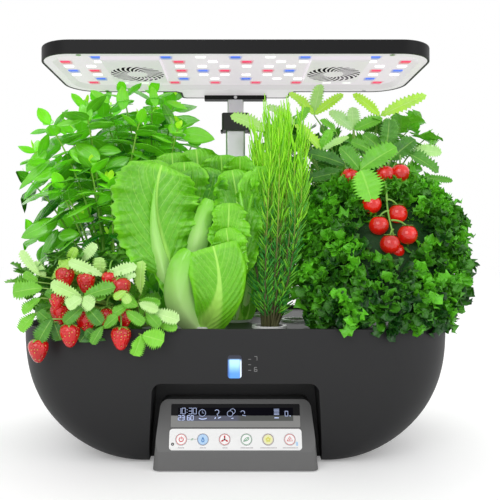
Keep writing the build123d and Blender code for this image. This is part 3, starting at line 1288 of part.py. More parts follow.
with BuildPart() as lamp_screws:
    with BuildSketch(Plane.XZ.offset(-POLE_Y + BRACKET_DEPTH / 2)):
        with Locations((0, (BRACKET_BOTTOM + BEZEL_FACE) / 2)):
            Circle(SCREW_RADIUS)
    extrude(amount=-BRACKET_DEPTH / 4)
    with BuildSketch(Plane.XZ.offset(-POLE_Y + BRACKET_DEPTH / 2)):
        with Locations((0, (BRACKET_BOTTOM + BEZEL_FACE) / 2)):
            Circle(BRACKET_SCREW_HEAD)
    extrude(amount=SCREW_HEAD_HEIGHT / 2)
    with BuildSketch(Plane.XY.offset(BEZEL_FACE)):
        with Locations(*bezel_screw_places):
            Circle(SCREW_RADIUS)
    extrude(amount=BEZEL_THICKNESS + 4)
    with BuildSketch(Plane.XY.offset(BEZEL_FACE)):
        with Locations(*bezel_screw_places):
            Circle(SCREW_HEAD_RADIUS)
    extrude(amount=-BEZEL_RISE)
lamp_screws.part.label = "lamp_screws"
export_step(lamp_screws.part, "parts/lamp_screws.step")

# ---------------------------------------------------------------- plants
pods = pod_places()

with BuildPart() as strawberry_fruits:
    for place, tip in zip(BERRY_PLACES, PEDICEL_TIPS):
        add(berry(place, tip))
strawberry_fruits.part.label = "strawberry_fruits"
export_step(strawberry_fruits.part, "parts/strawberry_fruits.step")

with BuildPart() as tomato_truss:
    add(tomato_cluster())
tomato_truss.part.label = "tomato_truss"
export_step(tomato_truss.part, "parts/tomato_truss.step")

with BuildPart() as strawberry_plant:
    add(crown(STRAWBERRY))
    add(stem(*pods[0], STRAWBERRY[1][0], STEM_RADIUS))
    for place, tip in zip(BERRY_PLACES, PEDICEL_TIPS):
        add(berry(place, tip, LEAF_GAP), mode=Mode.SUBTRACT)
strawberry_plant.part.label = "strawberry_plant"
export_step(strawberry_plant.part, "parts/strawberry_plant.step")

with BuildPart() as parsley_plant:
    add(crown(PARSLEY))
    add(stem(*pods[3], PARSLEY[1][0], STEM_RADIUS))
    add(tomato_cluster(LEAF_GAP), mode=Mode.SUBTRACT)
parsley_plant.part.label = "parsley_plant"
export_step(parsley_plant.part, "parts/parsley_plant.step")

with BuildPart() as tomato_plant:
    add(crown(TOMATO))
    add(stem(*pods[8], TOMATO[1][0], STEM_RADIUS))
    add(tomato_cluster(LEAF_GAP), mode=Mode.SUBTRACT)
tomato_plant.part.label = "tomato_plant"
export_step(tomato_plant.part, "parts/tomato_plant.step")

with BuildPart() as basil_plant:
    add(crown(BASIL))
    for pod in (pods[4], pods[9]):
        add(stem(*pod, BASIL[2][0], STEM_RADIUS))
basil_plant.part.label = "basil_plant"
export_step(basil_plant.part, "parts/basil_plant.step")

for name, stations, pod in (
    ("romaine_plant", ROMAINE, pods[1]),
    ("leaf_lettuce_plant", LEAF_LETTUCE, pods[6]),
    ("rosemary_plant", ROSEMARY, pods[2]),
):
    with BuildPart() as plant:
        add(crown(stations))
        add(stem(*pod, stations[1][0], STEM_RADIUS))
    plant.part.label = name
    export_step(plant.part, f"parts/{name}.step")
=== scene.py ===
import functools
import math

import bpy
import numpy as np
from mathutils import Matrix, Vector


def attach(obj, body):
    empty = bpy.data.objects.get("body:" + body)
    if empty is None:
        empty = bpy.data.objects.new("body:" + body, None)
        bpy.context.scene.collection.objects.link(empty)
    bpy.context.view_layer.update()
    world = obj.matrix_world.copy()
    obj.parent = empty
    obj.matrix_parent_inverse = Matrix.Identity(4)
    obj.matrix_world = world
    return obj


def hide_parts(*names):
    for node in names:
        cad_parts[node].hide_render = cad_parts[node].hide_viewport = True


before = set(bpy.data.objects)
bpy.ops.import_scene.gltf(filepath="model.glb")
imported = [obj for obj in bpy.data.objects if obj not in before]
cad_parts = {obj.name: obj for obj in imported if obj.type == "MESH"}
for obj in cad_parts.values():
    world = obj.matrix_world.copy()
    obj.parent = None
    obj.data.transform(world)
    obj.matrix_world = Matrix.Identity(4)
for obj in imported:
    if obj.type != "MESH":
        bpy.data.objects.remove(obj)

bl_info = {
    "name": "Countertop Hydroponic Garden",
    "version": (1, 0, 0),
    "blender": (4, 5, 0),
    "location": "View3D > Sidebar > Garden",
    "description": "Dresses the garden's housing, lamp and console, and grows its plants",
    "category": "Add Mesh",
}

MM = 0.001
# Millimetres: the pods' pitch, their front row, the step between rows, and each row's first place and count
POD_PITCH, POD_FRONT, POD_STEP = 66.0, -75.0, 58.5
POD_ROWS = ((-1.5, 4), (-2, 5), (-1.5, 3))
PODS = [((first + k) * POD_PITCH, POD_FRONT + row * POD_STEP)
        for row, (first, count) in enumerate(POD_ROWS) for k in range(count)]
# Height at which stems leave the sponges; the diodes' columns and rows, and the height of their glow
STEM_FOOT = 121.0
LED_PITCH, LED_STEP, LED_FRONT = 11.5, 16.0, -21.5
GLOW_HEIGHT = 390.36
# The console's face: its slope in degrees, its lower edge, and how high the prints lie on its parts
PANEL_SLOPE, PANEL_EDGE = 67.3, np.array((0, -125.2, 18.0))
KEY_TOP, STRIP_TOP, DISPLAY_TOP = 0.51, 0.02, 0.01
GOLDEN_ANGLE = 137.508
KEYS = ("power", "pump", "fan", "leaf", "flower", "reset")
LIMITS = np.array(((-234.8, -145.8, 0.0), (234.8, 145.8, 399.0)))
UP = np.array((0.0, 0.0, 1.0))
FRONT = np.array((0.0, -1.0, 0.0))
ASKEW = np.array((0.31, 0.87, 0.11))  # lies along no stem
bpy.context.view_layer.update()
# Whites of the lamp's tray and board, and the colour and strength of the painted glow, as though lit, on the
# board and its glow patches
TRAY_WHITE, BOARD_WHITE = (0.36, 0.35, 0.36), (0.36, 0.34, 0.36)
BOARD_GLOW, BOARD_POWER = (1.0, 0.90, 1.0), 0.58


# ---------------------------------------------------------------- meshes
def unit(vectors):
    """Vectors divided by their lengths."""
    return vectors / np.maximum(np.linalg.norm(vectors, axis=-1, keepdims=True), 1e-9)


def grid_faces(count, rows, cols, wrap):
    """Quads of count like grids; with wrap the last column joins the first."""
    r = np.arange(rows - 1)[:, None]
    c = np.arange(cols if wrap else cols - 1)[None, :]
    a, b = r * cols + c, r * cols + (c + 1) % cols
    quads = np.stack((a, b, b + cols, a + cols), -1).reshape(-1, 4)
    return (quads[None] + (np.arange(count) * rows * cols)[:, None, None]).reshape(-1, 4)


def outward(points, faces):
    """The faces, turned round if the volume that they enclose comes out negative."""
    a, b, c, d = (points[faces[:, k]] for k in range(4))
    volume = (a * np.cross(b, c)).sum() + (a * np.cross(c, d)).sum()
    return faces if volume >= 0 else faces[:, ::-1]


class Piece:
    """Mesh data of one piece, gathered patch by patch, in millimetres."""

    def __init__(self):
        self.points, self.faces, self.uv, self.shade, self.count = [], [], [], [], 0

    def add(self, points, faces, uv=None, shade=0.5):
        """Joins a closed patch; its shade is one value or one for each point."""
        points = points.reshape(-1, 3)
        self.points.append(points)
        self.faces.append(outward(points, faces) + self.count)
        self.uv.append(np.zeros((len(points), 2)) if uv is None else uv.reshape(-1, 2))
        self.shade.append(np.broadcast_to(np.asarray(shade, float), (len(points),)))
        self.count += len(points)

    def build(self, name, finish, body, nodes=(), smooth=True, clip=False):
        """Turns the patches into a Blender object that rides on a body and stands for the nodes."""
        points, faces = np.concatenate(self.points), np.concatenate(self.faces)
        if clip:
            points = np.clip(points, *LIMITS)
        mesh = bpy.data.meshes.new(name)
        mesh.vertices.add(len(points))
        mesh.vertices.foreach_set("co", (points * MM).ravel())
        mesh.loops.add(faces.size)
        mesh.loops.foreach_set("vertex_index", faces.ravel())
        mesh.polygons.add(len(faces))
        mesh.polygons.foreach_set("loop_start", np.arange(len(faces)) * 4)
        mesh.polygons.foreach_set("use_smooth", np.full(len(faces), smooth))
        layer = mesh.uv_layers.new(name="grid")
        layer.data.foreach_set("uv", np.concatenate(self.uv)[faces.ravel()].ravel())
        shade = mesh.attributes.new("shade", "FLOAT", "POINT")
        shade.data.foreach_set("value", np.concatenate(self.shade))
        mesh.update(calc_edges=True)
        mesh.validate()
        mesh.materials.append(finish)
        item = bpy.data.objects.new(name, mesh)
        bpy.context.scene.collection.objects.link(item)
        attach(item, body)
        if nodes:
            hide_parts(*nodes)

    def plant(self, name, finish, slot, *nodes):
        """Builds a piece of a plant: it rides on the garden and is kept inside the limits."""
        self.build(name, finish, "garden", nodes=nodes, clip=True)


def arc(start, bend, end, t):
    """Arcs at shares t of their way: start, bend and end are weighted by (1-t)^2, 2t(1-t) and t^2."""
    return (1 - t) ** 2 * start + 2 * t * (1 - t) * bend + t**2 * end


def arc_ahead(start, bend, end, t):
    """Directions of arcs at shares t of their way."""
    return unit((1 - t) * (bend - start) + t * (end - bend))


def curves(start, bend, end, steps):
    """Arcs as rows of points at even shares of their way."""
    start, bend, end = (np.asarray(p, float).reshape(-1, 1, 3) for p in (start, bend, end))
    return arc(start, bend, end, np.linspace(0, 1, steps)[None, :, None])


def circle(sides):
    """Rows of x and y of a circle of radius 1, at even angles."""
    angle = np.arange(sides) * (2 * math.pi / sides)
    return np.stack((np.cos(angle), np.sin(angle)), -1)


def tubes(paths, radii, sides=6):
    """Round tubes: a circle carried along each path, square to it; the ends draw together to a point."""
    paths = np.concatenate((paths[:, :1], paths, paths[:, -1:]), 1)
    radii = np.broadcast_to(np.asarray(radii, float), (len(paths), paths.shape[1] - 2))
    radii = np.pad(radii, ((0, 0), (1, 1)))
    along = unit(np.gradient(paths, axis=1) + 1e-6)
    across = unit(np.cross(along, ASKEW))
    square = np.cross(along, across)
    turn = circle(sides)
    ring = across[:, :, None] * turn[:, :1] + square[:, :, None] * turn[:, 1:]
    points = paths[:, :, None] + ring * radii[:, :, None, None]
    return points, grid_faces(len(paths), paths.shape[1], sides, True)


def blades(start, bend, end, face, width, outline, rows, cols, thick=0.35, fold=0.25, cup=0.0,
           ruffle=0.0, waves=3.0, frill=0.0, pucker=0.0, veins=7, teeth=0.0, phase=0.0, rib=0.0, crisp=2):
    """Leaves as closed thin shells, one per row of points.

    The midrib is the arc from start to end that leans towards bend. Across it the half width is the
    outline, cut in at every second row for teeth; the halves rise by the fold angle and the cup, the
    margin waves as a sum of sines along the length, the quicker ones given by the frill, that grows
    with a power, crisp, of the distance from the midrib, and the blade swells between side veins. A
    second layer, thickened by the rib, closes it.
    """
    count = len(start)
    full = lambda v: np.broadcast_to(np.asarray(v, float), (count,))[:, None, None]
    s = np.linspace(0, 1, rows)[None, :, None]
    t = np.concatenate((np.linspace(-1, 1, cols), np.linspace(1, -1, cols)))[None, None, :]
    layer = np.repeat((0.5, -0.5), cols)[None, None, :]
    path = curves(start, bend, end, rows)
    ahead = unit(np.gradient(path, axis=1))
    side = unit(np.cross(ahead, np.broadcast_to(face, (count, 3))[:, None]))
    normal = np.cross(side, ahead)
    notch = 1 - teeth * (np.arange(rows) % 2)[None, :, None] * np.abs(t) ** 3
    half = 0.5 * full(width) * outline(np.linspace(0, 1, rows))[None, :, None] * notch
    turn = 2 * math.pi * full(waves) * s + full(phase) + 1.1 * np.sign(t)
    wave = np.sin(turn) + frill * np.sin(2.7 * turn + 1.0) + 0.6 * frill * np.sin(6.1 * turn + 2.0)
    half = half * (1 + 0.09 * frill * t**2 * (np.sin(2.3 * turn) + np.sin(4.9 * turn + full(phase))))
    swell = np.abs(np.sin(math.pi * veins * (s - 0.5 * np.abs(t)))) * np.abs(t) * (1 - np.abs(t)) * 4
    lift = half * (full(ruffle) * np.abs(t) ** crisp * wave + pucker * swell + full(cup) * t**2)
    edge = np.minimum(1, 12 * s * (1 - s) + 0.02)
    body = full(thick) * edge * (layer - (layer < 0) * rib * np.exp(-(t / 0.16) ** 2) * (1 - s) ** 0.7)
    out = (half * t * np.cos(full(fold)))[..., None] * side[:, :, None]
    up = (half * np.abs(t) * np.sin(full(fold)) + lift + body)[..., None] * normal[:, :, None]
    points = path[:, :, None] + out + up
    uv = np.broadcast_to(np.stack(np.broadcast_arrays(s, 0.5 + 0.5 * t), -1), points.shape[:3] + (2,))
    return points, grid_faces(count, rows, 2 * cols, True), uv


def pointed(rise, fall):
    """Leaf outline s^rise times (1-s)^fall, scaled so that its widest place is 1."""
    peak = rise / (rise + fall)
    top = peak**rise * (1 - peak) ** fall
    return lambda s: s**rise * (1 - s) ** fall / top


def cornered(*corners):
    """Leaf outline through given (s, half width) corners."""
    where, wide = zip(*corners)
    return lambda s: np.interp(s, where, wide)


def crown_at(stations, part, top=1.0):
    """Heights at shares of a crown, and the middle and half size of its ellipse at each of them.

    A station holds a height and the places of the crown's left, right, front and back there.
    """
    table = np.array(stations, float)
    height = table[0, 0] + part * (table[-1, 0] - table[0, 0]) * top
    left, right, front, back = (np.interp(height, table[:, 0], table[:, k]) for k in range(1, 5))
    middle = np.stack((left + right, front + back), -1) / 2
    return height, middle, np.stack((right - left, back - front), -1) / 2


def crown_spots(stations, count, rng, skin=(0.6, 0.97), band=(0.0, 1.0), sector=(0, 360)):
    """Places in a crown, and the directions that lead out of it.

    A height is drawn in the band, and the place lies on the crown's ellipse there at a random angle,
    drawn in by the skin. The direction follows the angle and turns upwards towards the top. With
    no sector the places follow each other by the golden angle as they rise, which spreads them evenly.
    """
    part = rng.uniform(*band, count) if sector else np.linspace(*band, count)
    height, middle, reach = crown_at(stations, part)
    angle = np.radians(rng.uniform(*sector, count) if sector else np.arange(count) * GOLDEN_ANGLE)
    ring = np.stack((np.cos(angle), np.sin(angle)), -1)
    flat = middle + ring * reach * rng.uniform(*skin, (count, 1))
    return np.column_stack((flat, height)), unit(np.column_stack((ring, part * 1.6 - 0.5)))


def crown_core(stations, rng, draw, sides=28, rows=14):
    """Dark lumpy middle of a crown, painted shade inside it: its ellipses drawn in by a share, with small
    random swells.
    """
    part = np.linspace(0, 1, rows)
    height, middle, reach = crown_at(stations, part, 0.94)
    size = draw * np.sqrt(np.clip(1 - (2 * part - 1) ** 8, 0, 1))[:, None]
    size = size * rng.uniform(0.9, 1.1, (rows, sides))
    flat = middle[:, None] + size[..., None] * circle(sides) * reach[:, None]
    high = np.broadcast_to(height[:, None, None], (rows, sides, 1))
    return np.concatenate((flat, high), -1)[None], grid_faces(1, rows, sides, True)


def turned(centres, radii, rows, sides):
    """Round solids about upright axes: rows are shares of the radius, out and up."""
    out, up = np.asarray(rows, float).T
    radii = np.broadcast_to(np.asarray(radii, float), (len(centres),))[:, None, None, None]
    flat = out[None, :, None, None] * circle(sides) * radii
    high = np.broadcast_to(up[None, :, None, None] * radii, flat.shape[:3] + (1,))
    points = centres[:, None, None] + np.concatenate((flat, high), -1)
    u, v = np.meshgrid(np.linspace(0, 1, sides), np.linspace(0, 1, len(out)))
    uv = np.broadcast_to(np.stack((u, v), -1)[None], points.shape[:3] + (2,))
    return points, grid_faces(len(centres), len(out), sides, True), uv


def ribbon(line, width, closed=False, thick=0.12):
    """Flat band along a line of plane points: each point is moved half the width to both sides."""
    line = np.asarray(line, float)
    ahead = np.roll(line, -1, 0) - np.roll(line, 1, 0)
    if not closed:
        ahead[0], ahead[-1] = line[1] - line[0], line[-1] - line[-2]
    out = unit(np.stack((-ahead[:, 1], ahead[:, 0]), -1)) * width / 2
    corners = ((out, 0.0), (out, thick), (-out, thick), (-out, 0.0))
    ring = np.stack([np.column_stack((line + side, np.full(len(line), high))) for side, high in corners], 1)
    if closed:
        ring = np.concatenate((ring, ring[:1]))
    else:
        middle = np.column_stack((line, np.full(len(line), thick / 2)))
        ring = np.concatenate((np.repeat(middle[:1, None], 4, 1), ring, np.repeat(middle[-1:, None], 4, 1)))
    return ring, grid_faces(1, len(ring), 4, True)


def disc(centre, radius, sides=24, thick=0.12):
    """Flat round plate: a circle drawn in to its middle above and below."""
    radii, heights = np.array((0, 1, 1, 0)) * radius, np.array((0, 0, thick, thick))
    flat = radii[:, None, None] * circle(sides) + np.asarray(centre)
    high = np.broadcast_to(heights[:, None, None], flat.shape[:2] + (1,))
    return np.concatenate((flat, high), -1), grid_faces(1, 4, sides, True)


def ring_line(centre, radius, start=0.0, end=360.0, steps=24):
    """Points of an arc between two angles in degrees."""
    angle = np.radians(np.linspace(start, end, steps + 1))
    return np.asarray(centre) + radius * np.stack((np.cos(angle), np.sin(angle)), -1)


def on_incline(points, lift):
    """Moves plane points, x across and y up the panel, onto the console's sloping face."""
    slope = math.radians(PANEL_SLOPE)
    up = np.array((0, math.cos(slope), math.sin(slope)))
    out = np.array((0, -math.sin(slope), math.cos(slope)))
    return PANEL_EDGE + points[..., :1] * (1, 0, 0) + points[..., 1:2] * up + (points[..., 2:] + lift) * out


# ---------------------------------------------------------------- materials
class Value:
    """A socket in sums: plus, minus, times and abs make Math nodes."""

    def __init__(self, nodes, socket):
        self.nodes, self.socket = nodes, socket

    def __add__(self, other):
        return self.nodes.math("ADD", self, other)

    def __sub__(self, other):
        return self.nodes.math("SUBTRACT", self, other)

    def __rsub__(self, other):
        return self.nodes.math("SUBTRACT", other, self)

    def __mul__(self, other):
        return self.nodes.math("MULTIPLY", self, other)

    def __abs__(self):
        return self.nodes.math("ABSOLUTE", self)


class Nodes:
    """Short forms for making and joining the nodes of one tree."""

    def __init__(self, tree):
        self.tree = tree

    def put(self, socket, value):
        """Links a socket to an input, or sets a number, vector or colour on it."""
        value = getattr(value, "socket", value)
        if isinstance(value, bpy.types.NodeSocket):
            self.tree.links.new(value, socket)
        else:
            socket.default_value = (*value[:3], 1) if socket.type == "RGBA" else value

    def fill(self, node, **values):
        """Fills a node's inputs by name."""
        for name, value in values.items():
            self.put(node.inputs[name.replace("_", " ")], value)
        return node

    def new(self, kind, **values):
        """New node with some inputs filled."""
        return self.fill(self.tree.nodes.new("ShaderNode" + kind), **values)

    def result(self, node, values, **settings):
        """First output of a node, once its settings are made and its first inputs are filled."""
        for name, setting in settings.items():
            setattr(node, name, setting)
        for socket, value in zip(node.inputs, values):
            self.put(socket, value)
        return Value(self, node.outputs[0])

    def math(self, kind, *values):
        """Result of a Math node."""
        return self.result(self.new("Math"), values, operation=kind)

    def most(self, first, second):
        """The larger of two values."""
        return self.math("MAXIMUM", first, second)

    def ramp(self, value, low, high, out_low=0.0, out_high=1.0):
        """Smooth step of a value between two limits."""
        return self.result(self.new("MapRange"), (value, low, high, out_low, out_high),
                           interpolation_type="SMOOTHSTEP")

    def mix(self, share, first, second):
        """Colour between two others by a share; the colour sockets follow six of other kinds."""
        node = self.new("Mix")
        node.data_type = "RGBA"
        for place, value in ((0, share), (6, first), (7, second)):
            self.put(node.inputs[place], value)
        return node.outputs[2]

    def noise(self, vector, scale, detail=3.0):
        """Soft noise between 0 and 1."""
        return Value(self, self.new("TexNoise", Vector=vector, Scale=scale, Detail=detail).outputs["Fac"])

    def cells(self, scale, vector=None, feature="F1", **values):
        """Distances in a pattern of cells."""
        node = self.new("TexVoronoi", Vector=vector or self.coordinates(), Scale=scale, **values)
        node.feature = feature
        return Value(self, node.outputs["Distance"])

    def axes(self, vector=None):
        """The three parts of a vector, by default of the place on the object."""
        return [Value(self, part) for part in
                self.new("SeparateXYZ", Vector=vector or self.coordinates()).outputs]

    def coordinates(self, kind="Object"):
        """Texture coordinates of a kind."""
        return self.new("TexCoord").outputs[kind]

    def shade(self):
        """The piece's own shade."""
        node = self.new("Attribute")
        node.attribute_name = "shade"
        return node.outputs["Fac"]

    def use(self, tree, **values):
        """Outputs of a node group with its own values."""
        node = self.tree.nodes.new("ShaderNodeGroup")
        node.node_tree = tree
        return self.fill(node, **values).outputs

    def bump(self, shader, height, distance):
        """Feeds a height through a Bump node into the shader's normal."""
        self.fill(shader, Normal=self.new("Bump", Height=height, Distance=distance, Strength=1.0).outputs[0])


def group(name, inputs, outputs):
    """Shader node group with the given sockets: its short forms, its inputs' values and its last node."""
    tree = bpy.data.node_groups.new(name, "ShaderNodeTree")
    for socket, kind, value in inputs:
        item = tree.interface.new_socket(socket, in_out="INPUT", socket_type="NodeSocket" + kind)
        if value is not None:
            item.default_value = value
    for socket, kind in outputs:
        tree.interface.new_socket(socket, in_out="OUTPUT", socket_type="NodeSocket" + kind)
    n = Nodes(tree)
    given = {socket.name: Value(n, socket) for socket in tree.nodes.new("NodeGroupInput").outputs}
    return n, given, tree.nodes.new("NodeGroupOutput")


@functools.cache
def surface_group():
    """Moulded or brushed surface: fine grain lifts the height, a slow drift varies colour and roughness."""
    n, given, made = group(
        "Surface grain",
        (("Vector", "Vector", None), ("Colour", "Color", None), ("Grain Scale", "Float", 900.0),
         ("Drift", "Float", 0.1), ("Roughness", "Float", 0.5)),
        (("Colour", "Color"), ("Roughness", "Float"), ("Height", "Float")))
    amount = (n.noise(given["Vector"], 9.0) - 0.5) * given["Drift"]
    scale = n.new("VectorMath")
    scale.operation = "SCALE"
    n.put(scale.inputs[0], given["Colour"])
    n.fill(scale, Scale=amount * 2.0 + 1.0)
    n.fill(made, Colour=scale.outputs[0], Roughness=given["Roughness"] + amount,
           Height=n.noise(given["Vector"], given["Grain Scale"], 2.0))
    return n.tree


@functools.cache
def leaf_group():
    """Leaf pattern on the grid map: a pale midrib, slanting side veins, a fine net and a pale margin of
    painted highlight over a tone that runs from dark to light by the shade."""
    n, given, made = group(
        "Leaf pattern",
        (("Grid", "Vector", None), ("Vector", "Vector", None), ("Shade", "Float", 0.5),
         ("Dark", "Color", None), ("Light", "Color", None), ("Vein", "Color", None), ("Veins", "Float", 8.0),
         ("Vein Share", "Float", 0.5), ("Rib", "Float", 0.06), ("Rib Base", "Float", 0.1),
         ("Net", "Float", 0.0), ("Margin", "Float", 0.0), ("Relief", "Float", -0.3)),
        (("Colour", "Color"), ("Height", "Float")))
    along, aside, _ = n.axes(given["Grid"])
    across = abs(aside - 0.5) * 2.0
    row = n.math("FRACT", (along - across * 0.5) * given["Veins"])
    side = n.ramp(abs(row - 0.5), 0.07, 0.0) * n.ramp(across, 1.0, 0.5)
    wide = given["Rib"] + n.math("POWER", 1.0 - along, 3.0) * given["Rib Base"]
    rib = n.ramp(across, wide, wide * 0.4)
    net = n.ramp(n.cells(120.0, given["Vector"], "DISTANCE_TO_EDGE"), 0.10, 0.0) * given["Net"]
    vein = n.most(n.most(side * 0.6, net), rib)
    patch = (n.noise(given["Vector"], 60.0) - 0.5) * 0.5
    # Painted highlight: the tone grows lighter towards the margin and the tip by the Margin share
    rim_highlight = n.most(n.ramp(across, 0.80, 1.0), n.ramp(along, 0.93, 1.0))
    tone = n.new("Clamp", Value=given["Shade"] + (patch + rim_highlight * given["Margin"])).outputs[0]
    colour = n.mix(tone, given["Dark"], given["Light"])
    n.fill(made, Colour=n.mix(vein * given["Vein Share"], colour, given["Vein"]),
           Height=patch * 0.6 + vein * given["Relief"])
    return n.tree


def principled(name, **values):
    """New node material; values are plain numbers and colours on its Principled shader."""
    made = bpy.data.materials.new(name)
    made.use_nodes = True
    n, shader = Nodes(made.node_tree), made.node_tree.nodes["Principled BSDF"]
    n.fill(shader, **values)
    return made, n, shader


def grained(n, shader, vector, colour, roughness, grain, depth, drift):
    """Feeds the surface grain into a shader."""
    out = n.use(surface_group(), Vector=vector, Colour=colour, Grain_Scale=grain, Drift=drift,
                Roughness=roughness)
    n.fill(shader, Base_Color=out["Colour"], Roughness=out["Roughness"])
    n.bump(shader, out["Height"], depth)


def surface(name, colour, roughness=0.5, grain=900.0, depth=0.00004, drift=0.1, stretch=(1, 1, 1), **values):
    """Moulded plastic, rubber or metal with fine grain; stretch draws the grain out along an axis."""
    made, n, shader = principled(name, **values)
    vector = n.new("Mapping", Vector=n.coordinates(), Scale=stretch).outputs[0]
    grained(n, shader, vector, colour, roughness, grain, depth, drift)
    return made


def leaf_finish(name, dark, light, vein, veins, share=0.5, rib=0.06, base=0.1, net=0.0, relief=-0.3,
                margin=0.0, depth=0.0006, through=0.22, **values):
    """Leaf material: dark to light by the piece's shade, with veins from its grid map; through stands
    for the light that comes through the blade."""
    made, n, shader = principled(name, Emission_Strength=through, **values)
    out = n.use(leaf_group(), Grid=n.coordinates("UV"), Vector=n.coordinates(), Shade=n.shade(), Dark=dark,
                Light=light, Vein=vein, Veins=veins, Vein_Share=share, Rib=rib, Rib_Base=base, Net=net,
                Margin=margin, Relief=relief)
    n.fill(shader, Base_Color=out["Colour"], Emission_Color=out["Colour"])
    n.bump(shader, out["Height"], depth)
    return made


def shaded(name, dark, light, through=0.0, **values):
    """Material that runs from dark to light by the piece's shade and shines through by a share."""
    made, n, shader = principled(name, Emission_Strength=through, **values)
    tone = n.mix(n.shade(), dark, light)
    n.fill(shader, Base_Color=tone)
    if through:
        n.fill(shader, Emission_Color=tone)
    return made


def dress(finish, *nodes):
    """Gives CAD nodes a material."""
    for name in nodes:
        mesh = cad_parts[name].data
        mesh.materials.clear()
        mesh.materials.append(finish)


# ---------------------------------------------------------------- sizes and colours
def tint(name, text, colour):
    """Colour property in linear values."""
    return bpy.props.FloatVectorProperty(name=name, description=text, default=colour, size=3, subtype="COLOR",
                                         min=0, max=1)


def share(name, text, value, low=0.0, high=1.0):
    """Plain factor property."""
    return bpy.props.FloatProperty(name=name, description=text, default=value, min=low, max=high)


def distance(name, text, value):
    """Length property in metres."""
    return bpy.props.FloatProperty(name=name, description=text, default=value, unit="LENGTH")


class StageSizes(bpy.types.PropertyGroup):
    camera_distance: distance("Camera distance", "From the tank's centre forward to the camera", 0.7045)
    camera_height: distance("Camera height", "Of the level camera above the table", 0.1995)
    lens: share("Lens", "Focal length in millimetres", 46.3, 10, 200)
    shift: share("Shift", "Sideways shift of the picture", 0.029, -1, 1)
    floor: tint("Floor", "Colour of the floor", (0.92, 0.92, 0.92))
    sky: share("Sky", "Strength of the light from all round", 0.85, 0, 5)
    key_light: share("Key light", "Power of the large front lamp in watts", 9.0, 0, 200)


class HousingColours(bpy.types.PropertyGroup):
    tank: tint("Tank", "Moulded tank and deck", (0.013, 0.013, 0.014))
    deck: tint("Deck", "Deck, lid, socket and collar", (0.016, 0.016, 0.017))
    console: tint("Console", "Console housing", (0.12, 0.12, 0.12))
    lamp: tint("Lamp", "Lamp shell", (0.006, 0.006, 0.0065))
    pole: tint("Pole", "Drawn tubes of the pole", (0.62, 0.62, 0.64))
    white: tint("White parts", "Baskets, bezel and key strip", (0.80, 0.80, 0.80))


class LightColours(bpy.types.PropertyGroup):
    blue: tint("Blue", "Blue lights", (0.05, 0.16, 0.85))
    red: tint("Red", "Red lights", (0.85, 0.02, 0.12))
    white: tint("White", "White lights", (1.0, 1.0, 1.0))
    glow: share("Glow", "Strength of the coloured glow on the tray", 0.75, 0, 2)
    window: share("Window", "Strength of the level window's light", 0.75, 0, 5)
    display: tint("Display", "Segments of the display", (0.42, 0.50, 0.78))


# ---------------------------------------------------------------- stage and housing
class BuildStage(bpy.types.Operator):
    """Camera, soft lamps, white surroundings and a pale floor"""
    bl_idname = "garden.stage"
    bl_label = "Stage"

    LAMPS = (("key_lamp", (-0.6, -1.6, 1.1), 0.18, 1.1, 1.0), ("fill_lamp", (1.4, -1.1, 0.7), 0.2, 1.0, 0.5),
             ("top_lamp", (0.1, 0.7, 1.7), 0.2, 1.2, 0.7))
    FAR = 6.0

    def execute(self, context):
        scene, sizes = context.scene, context.scene.garden_stage
        scene.view_settings.view_transform = "Standard"
        camera = bpy.data.cameras.new("camera")
        camera.lens, camera.sensor_width, camera.shift_x = sizes.lens, 36.0, sizes.shift
        camera.clip_start, camera.clip_end = 0.01, 50.0
        scene.camera = self.place("camera", camera, (0, -sizes.camera_distance, sizes.camera_height),
                                  (math.pi / 2, 0, 0))
        self.sky(scene, sizes)
        self.floor(sizes)
        for name, place, aim, size, power in self.LAMPS:
            lamp = bpy.data.lights.new(name, "AREA")
            lamp.size, lamp.energy = size, sizes.key_light * power
            turn = (Vector((0, 0, aim)) - Vector(place)).to_track_quat("-Z", "Y").to_euler()
            self.place(name, lamp, place, turn)
        return {"FINISHED"}

    def place(self, name, data, where=(0, 0, 0), turn=(0, 0, 0)):
        """Links a new object at a place, turned by angles."""
        item = bpy.data.objects.new(name, data)
        item.location, item.rotation_euler = where, turn
        bpy.context.scene.collection.objects.link(item)
        return item

    def sky(self, scene, sizes):
        """Even light from all round, which the camera and reflections see as white."""
        world = bpy.data.worlds.new("sky")
        scene.world = world
        world.use_nodes = True
        n = Nodes(world.node_tree)
        path = n.new("LightPath").outputs
        seen = n.most(path["Is Camera Ray"], n.most(path["Is Glossy Ray"], path["Is Transmission Ray"]))
        n.fill(world.node_tree.nodes["Background"], Color=(1, 1, 1),
               Strength=seen * (1 - sizes.sky) + sizes.sky)

    def floor(self, sizes):
        """Pale floor, lit a little more for the camera alone so that it stays white behind the garden."""
        mesh = bpy.data.meshes.new("floor")
        corners = [(x * self.FAR, y * self.FAR, 0) for x, y in ((-1, -1), (1, -1), (1, 1), (-1, 1))]
        mesh.from_pydata(corners, [], [(0, 1, 2, 3)])
        made, n, shader = principled("floor", Base_Color=sizes.floor, Roughness=0.6, Specular_IOR_Level=0.1,
                                     Emission_Color=(1, 1, 1))
        n.fill(shader, Emission_Strength=n.math("MULTIPLY", n.new("LightPath").outputs["Is Camera Ray"], 0.2))
        mesh.materials.append(made)
        item = self.place("floor", mesh)


